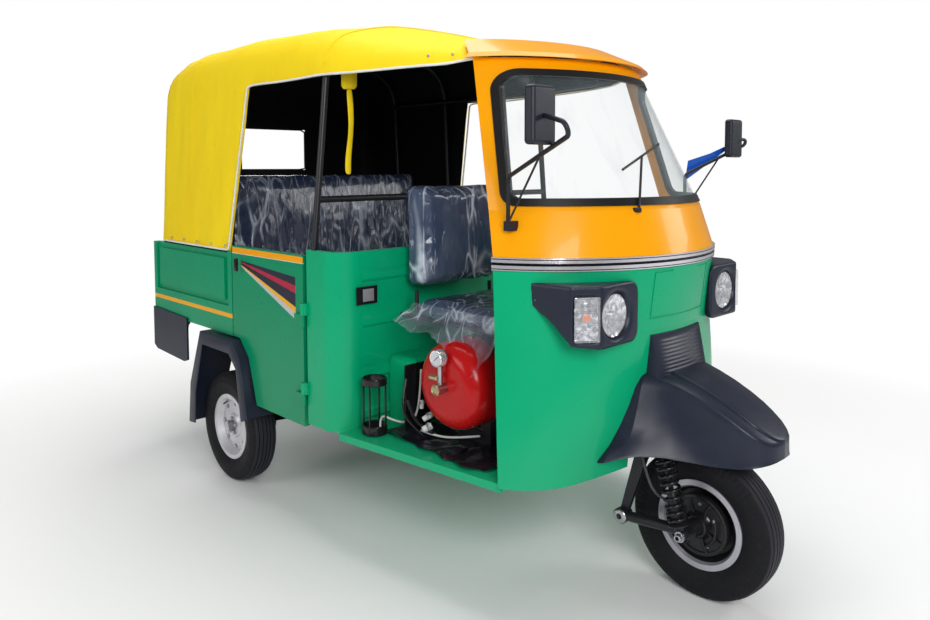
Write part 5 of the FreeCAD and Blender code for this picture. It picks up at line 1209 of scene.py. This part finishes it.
def interior():
    floor_mat("floor_mat_front", ((-0.600, -0.150), (-0.770, -0.560)), 0.4345, 0.020, 1.3)
    floor_mat("floor_mat_rear", ((-0.585, -0.400), (-0.600, -0.270)), 0.4345, 0.028, 4.1)
    pipes = [tube("white_pipe", route, 0.0042, pipe_white, "body", 2) for route in (
        ((-0.470, -0.345, 0.660), (-0.478, -0.348, 0.560), (-0.485, -0.330, 0.478), (-0.505, -0.290, 0.458),
         (-0.530, -0.255, 0.466), (-0.552, -0.222, 0.482), (-0.566, -0.225, 0.455), (-0.570, -0.235, 0.436)),
        ((-0.520, -0.400, 0.462), (-0.500, -0.450, 0.450), (-0.470, -0.520, 0.452), (-0.430, -0.600, 0.470)))]
    joined(pipes, "white_pipes")
    hoses = [tube("black_hose", route, radius, gloss_black, "body", slot="rubber")
             for radius, route in (
        (0.0085, ((-0.500, -0.480, 0.640), (-0.470, -0.500, 0.560), (-0.430, -0.560, 0.500), (-0.380, -0.640, 0.462),
                  (-0.300, -0.720, 0.450))),
        (0.0060, ((-0.535, -0.345, 0.560), (-0.540, -0.380, 0.500), (-0.520, -0.430, 0.470), (-0.490, -0.450, 0.450),
                  (-0.450, -0.400, 0.440))),
        (0.0050, ((-0.545, -0.350, 0.640), (-0.575, -0.360, 0.560), (-0.570, -0.380, 0.500), (-0.530, -0.420, 0.452))))]
    joined(hoses, "black_hoses")
    fittings = []
    for start, end, radius in (((-0.515, -0.405, 0.500), (-0.490, -0.425, 0.520), 0.010),
                               ((-0.530, -0.420, 0.470), (-0.505, -0.440, 0.486), 0.012),
                               ((-0.500, -0.380, 0.530), (-0.496, -0.378, 0.560), 0.008),
                               ((-0.475, -0.470, 0.505), (-0.455, -0.490, 0.520), 0.009)):
        start, end = Vector(start), Vector(end)
        middle = (start + end) / 2
        fittings += [bar("pipe_fitting", start, end, radius, pipe_white, "body", 0.002, 16),
                     bar("pipe_nut", middle, middle + (end - start) * 0.35, radius * 1.3, steel, "body", 0.001, 6)]
    joined(fittings, "pipe_fittings")
    gauge()
    bulkhead_plate()


def gauge():
    """Dial, rim and hand wheel on the tank's end."""
    centre = Vector((-0.5948, -0.560, 0.7585))
    rim = [(0.0225, 0.0), (0.0235, 0.004), (0.0265, 0.0045), (0.0285, 0.002), (0.0288, -0.020)]
    turned("gauge_rim", rim, centre, (-1, 0, 0), 48, chrome, "body")
    face = [(0.0, 0.0006), (0.012, 0.0006), (0.0228, 0.0006)]
    turned("gauge_face", face, centre, (-1, 0, 0), 48, dial_face, "body")
    bar("gauge_needle", centre + Vector((-0.0016, 0.010, -0.008)), centre + Vector((-0.0016, -0.012, 0.010)), 0.0010,
        gloss_black, "body", 0.0002, 8)
    wheel = Vector((-0.5948, -0.560, 0.655))
    grip = [(0.0, 0.004), (0.008, 0.005), (0.013, 0.004), (0.0165, 0.008), (0.0195, 0.006), (0.0195, 0.001),
            (0.013, 0.0), (0.0, 0.0)]
    turned("valve_wheel", grip, wheel, (-1, 0, 0), 24, brass, "body")
    bar("valve_block", (-0.585, -0.560, 0.690), (-0.585, -0.520, 0.690), 0.009, brass, "body", 0.001, 6)


def bulkhead_plate():
    """The blank plate in its dark frame on the bulkhead."""
    block("plate_frame", (-0.618, -0.1625, 0.886), (-0.522, -0.1592, 0.952), gloss_black, "body", 0.0008)
    block("plate_face", (-0.590, -0.1640, 0.896), (-0.540, -0.1624, 0.942), plate_grey, "body", 0.0005)


def film_skirt():
    """Loose clear film that hangs from the cushion over the tank's end."""
    rows = []
    for i in range(15):
        t = i / 14
        row = []
        for j in range(41):
            v = j / 40
            y = -0.285 - 0.450 * v
            drop = 0.040 + 0.145 * math.exp(-((v - 0.80) / 0.24) ** 2) + 0.030 * math.exp(-((v - 0.25) / 0.14) ** 2)
            fold = drift(v * 13, t * 2.2, 2.0) * 0.014 * (0.25 + t)
            fold += drift(v * 31, t * 5, 7.0) * 0.006 * (0.25 + t)
            x = -0.452 - 0.016 * math.sin(min(t * 3, 1) * math.pi / 2) - 0.085 * t * t - fold
            z = 0.893 - drop * t - 0.010 * t + drift(v * 9, 3, 1) * 0.012 * t
            row.append(Vector((x, y, z)))
        rows.append(row)
    made = lofted("film_skirt", rows, film_clear, "body", 0.0, 0, 60)


def cage():
    """Bottle cage: two rings, a dished foot and four thin uprights."""
    centre = Vector((-0.600, -0.238, 0.4305))
    black = {"finish": gloss_black, "body": "body", "slot": "black_plastic"}
    for name, low, high in (("cage_ring_low", 0.006, 0.034), ("cage_ring_high", 0.178, 0.204)):
        ring = [(0.0400, low), (0.0400, high), (0.0425, high + 0.0006), (0.0465, high - 0.003), (0.0468, low + 0.003),
                (0.0430, low), (0.0400, low)]
        turned(name, ring, centre, (0, 0, 1), 48, **black)
    foot = [(0.0, 0.003), (0.024, 0.003), (0.036, 0.006), (0.0465, 0.010), (0.0468, 0.004), (0.042, 0.0), (0.0, 0.0)]
    base = turned("cage_foot", foot, centre, (0, 0, 1), 48, **black)
    posts = []
    for index in range(4):
        turn = math.pi / 2 * index + 0.5
        out = Vector((math.cos(turn), math.sin(turn), 0)) * 0.0430
        post = centre + out
        posts.append(bar("cage_post", post + Vector((0, 0, 0.008)), post + Vector((0, 0, 0.190)), 0.0038, **black))
    joined(posts, "cage_posts")
    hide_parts("bottle_cage")


def bezel_screws():
    """One screw head at the outer end of either headlamp bezel."""
    heads = []
    for side in (-1, 1):
        place = Vector((side * 0.506, -0.9045, 0.985))
        heads.append(bar("bezel_screws", place, place + Vector((0, -0.0024, 0)), 0.004, steel, "body", 0.0008, 12))
    joined(heads, "bezel_screws")


def door_pulls():
    """A pull on either door's outer face."""
    for side, word in both_sides:
        near, far = sorted((side * 0.7158, side * 0.7278))
        block("door_pull_" + word, (near, 0.528, 0.955), (far, 0.548, 1.010), gloss_black, "door_" + word, 0.003)


def mirror_film():
    """Blue film left on the left mirror's arm."""
    blue = [[Vector(low), Vector(high)] for low, high in (
        ((0.560, -0.800, 1.330), (0.560, -0.812, 1.410)), ((0.640, -0.860, 1.400), (0.640, -0.866, 1.440)),
        ((0.725, -0.915, 1.472), (0.725, -0.917, 1.482)))]
    lofted("mirror_film", blue, blue_film, "body", 0.0015, 0, 60)


def straps():
    """Rolled yellow straps that hang inside the canvas on the right."""
    x, y = -0.500, along_y(1230)
    low, high = 1.690, 1.775
    length = high - low
    roll = [(0.0, 0.0), (0.022, 0.0), (0.030, 0.010), (0.031, length - 0.010), (0.024, length), (0.0, length)]
    parts = [turned("rolled_strap", roll, (x, y, low), (0, 0, 1), 24, canvas, "body")]
    rows = []
    for index in range(12):
        t = index / 11
        z = low - 0.330 * t
        sway = 0.008 * math.sin(t * 5)
        rows.append([Vector((x - 0.014 + sway, y + 0.003 * math.sin(t * 9), z)),
                     Vector((x + sway, y - 0.004, z)), Vector((x + 0.014 + sway, y + 0.003, z))])
    parts.append(lofted("hanging_strap", rows, canvas, "body", 0.002, 1, 60))
    joined(parts, "hood_straps")


def moulded_bezels():
    """The lamp housings with their edges worn round, as moulded plastic has them."""
    made = cad_copy("headlamp_bezels", "bezel_shells")
    modify(made, "REMESH", mode="VOXEL", voxel_size=0.0030)
    modify(made, "SMOOTH", factor=0.5, iterations=48)
    made = smooth(settle(made, "bezel_shells", plastic_fender, "body"), 60)
    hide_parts("headlamp_bezels")


def eased_arches():
    """The rear mudguards with their edges rounded."""
    made = cad_copy("rear_mudguards", "arch_shells")
    modify(made, "BEVEL", width=0.004, segments=3, limit_method="ANGLE", angle_limit=math.radians(40),
           use_clamp_overlap=True)
    made = smooth(settle(made, "arch_shells", plastic_fender, "body"), 38)
    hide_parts("rear_mudguards")


def handlebar_fittings():
    """Rubber grips, levers and their clamps on the handlebar's ends."""
    bar_points = [v.co for v in nodes["handlebar"].data.vertices]
    for side, word in both_sides:
        tip = [p for p in bar_points if p.x * side > 0.274]
        back = [p for p in bar_points if 0.17 < p.x * side < 0.205]
        end = sum(tip, Vector()) / len(tip)
        start = sum(back, Vector()) / len(back)
        along = (end - start).normalized()
        radius = max((p - end).dot(Vector((0, 0, 1))) for p in tip) + 0.0006
        profile = [(radius, 0.0), (radius + 0.006, 0.0), (radius + 0.0065, 0.003), (radius + 0.0045, 0.006)]
        for index in range(12):
            at = 0.008 + index * 0.0085
            profile += [(radius + 0.0042, at), (radius + 0.0042, at + 0.0055), (radius + 0.0032, at + 0.0065)]
        profile += [(radius + 0.0042, 0.112), (radius + 0.001, 0.1135)]
        grip_length = 0.114
        base = end - along * (grip_length - 0.002)
        turned("grip_" + word, profile, base, along, 32, rubber, "steering")
        clamp = [(radius + 0.0005, -0.030), (radius + 0.007, -0.029), (radius + 0.007, -0.012),
                 (radius + 0.0005, -0.011)]
        turned("lever_clamp_" + word, clamp, base, along, 28, paint_black, "steering")
        root = base - along * 0.020 + Vector((0, -radius - 0.006, 0.002))
        lever = [root] + [root + along * out + Vector((0, y, z)) for out, y, z in (
            (0.018, -0.022, 0), (0.070, -0.026, -0.004), (0.118, -0.020, -0.006))]
        tube("lever_" + word, lever, 0.0042, steel, "steering", 3)


def gate_catches():
    """The tailgate's catches and their hooks."""
    for side, word in both_sides:
        x = side * 0.520
        catch = block("gate_catch", (x - 0.012, 1.4402, 0.950), (x + 0.012, 1.4450, 0.990), steel, "tailgate")
        line = [(x, 1.4455, 0.985), (x, 1.4520, 0.972), (x, 1.4500, 0.955)]
        hook = tube("gate_hook", line, 0.003, steel, "tailgate", 2)
        joined([catch, hook], "gate_catch_" + word)


for build in (canvas_hood, seats, wheels, headlamps, mudguard, ribbed_block, front_spring, brake_plate, wheel_nuts,
              interior, film_skirt, cage, door_pulls, mirror_film, straps, bezel_screws, moulded_bezels,
              handlebar_fittings, gate_catches, eased_arches):
    build()
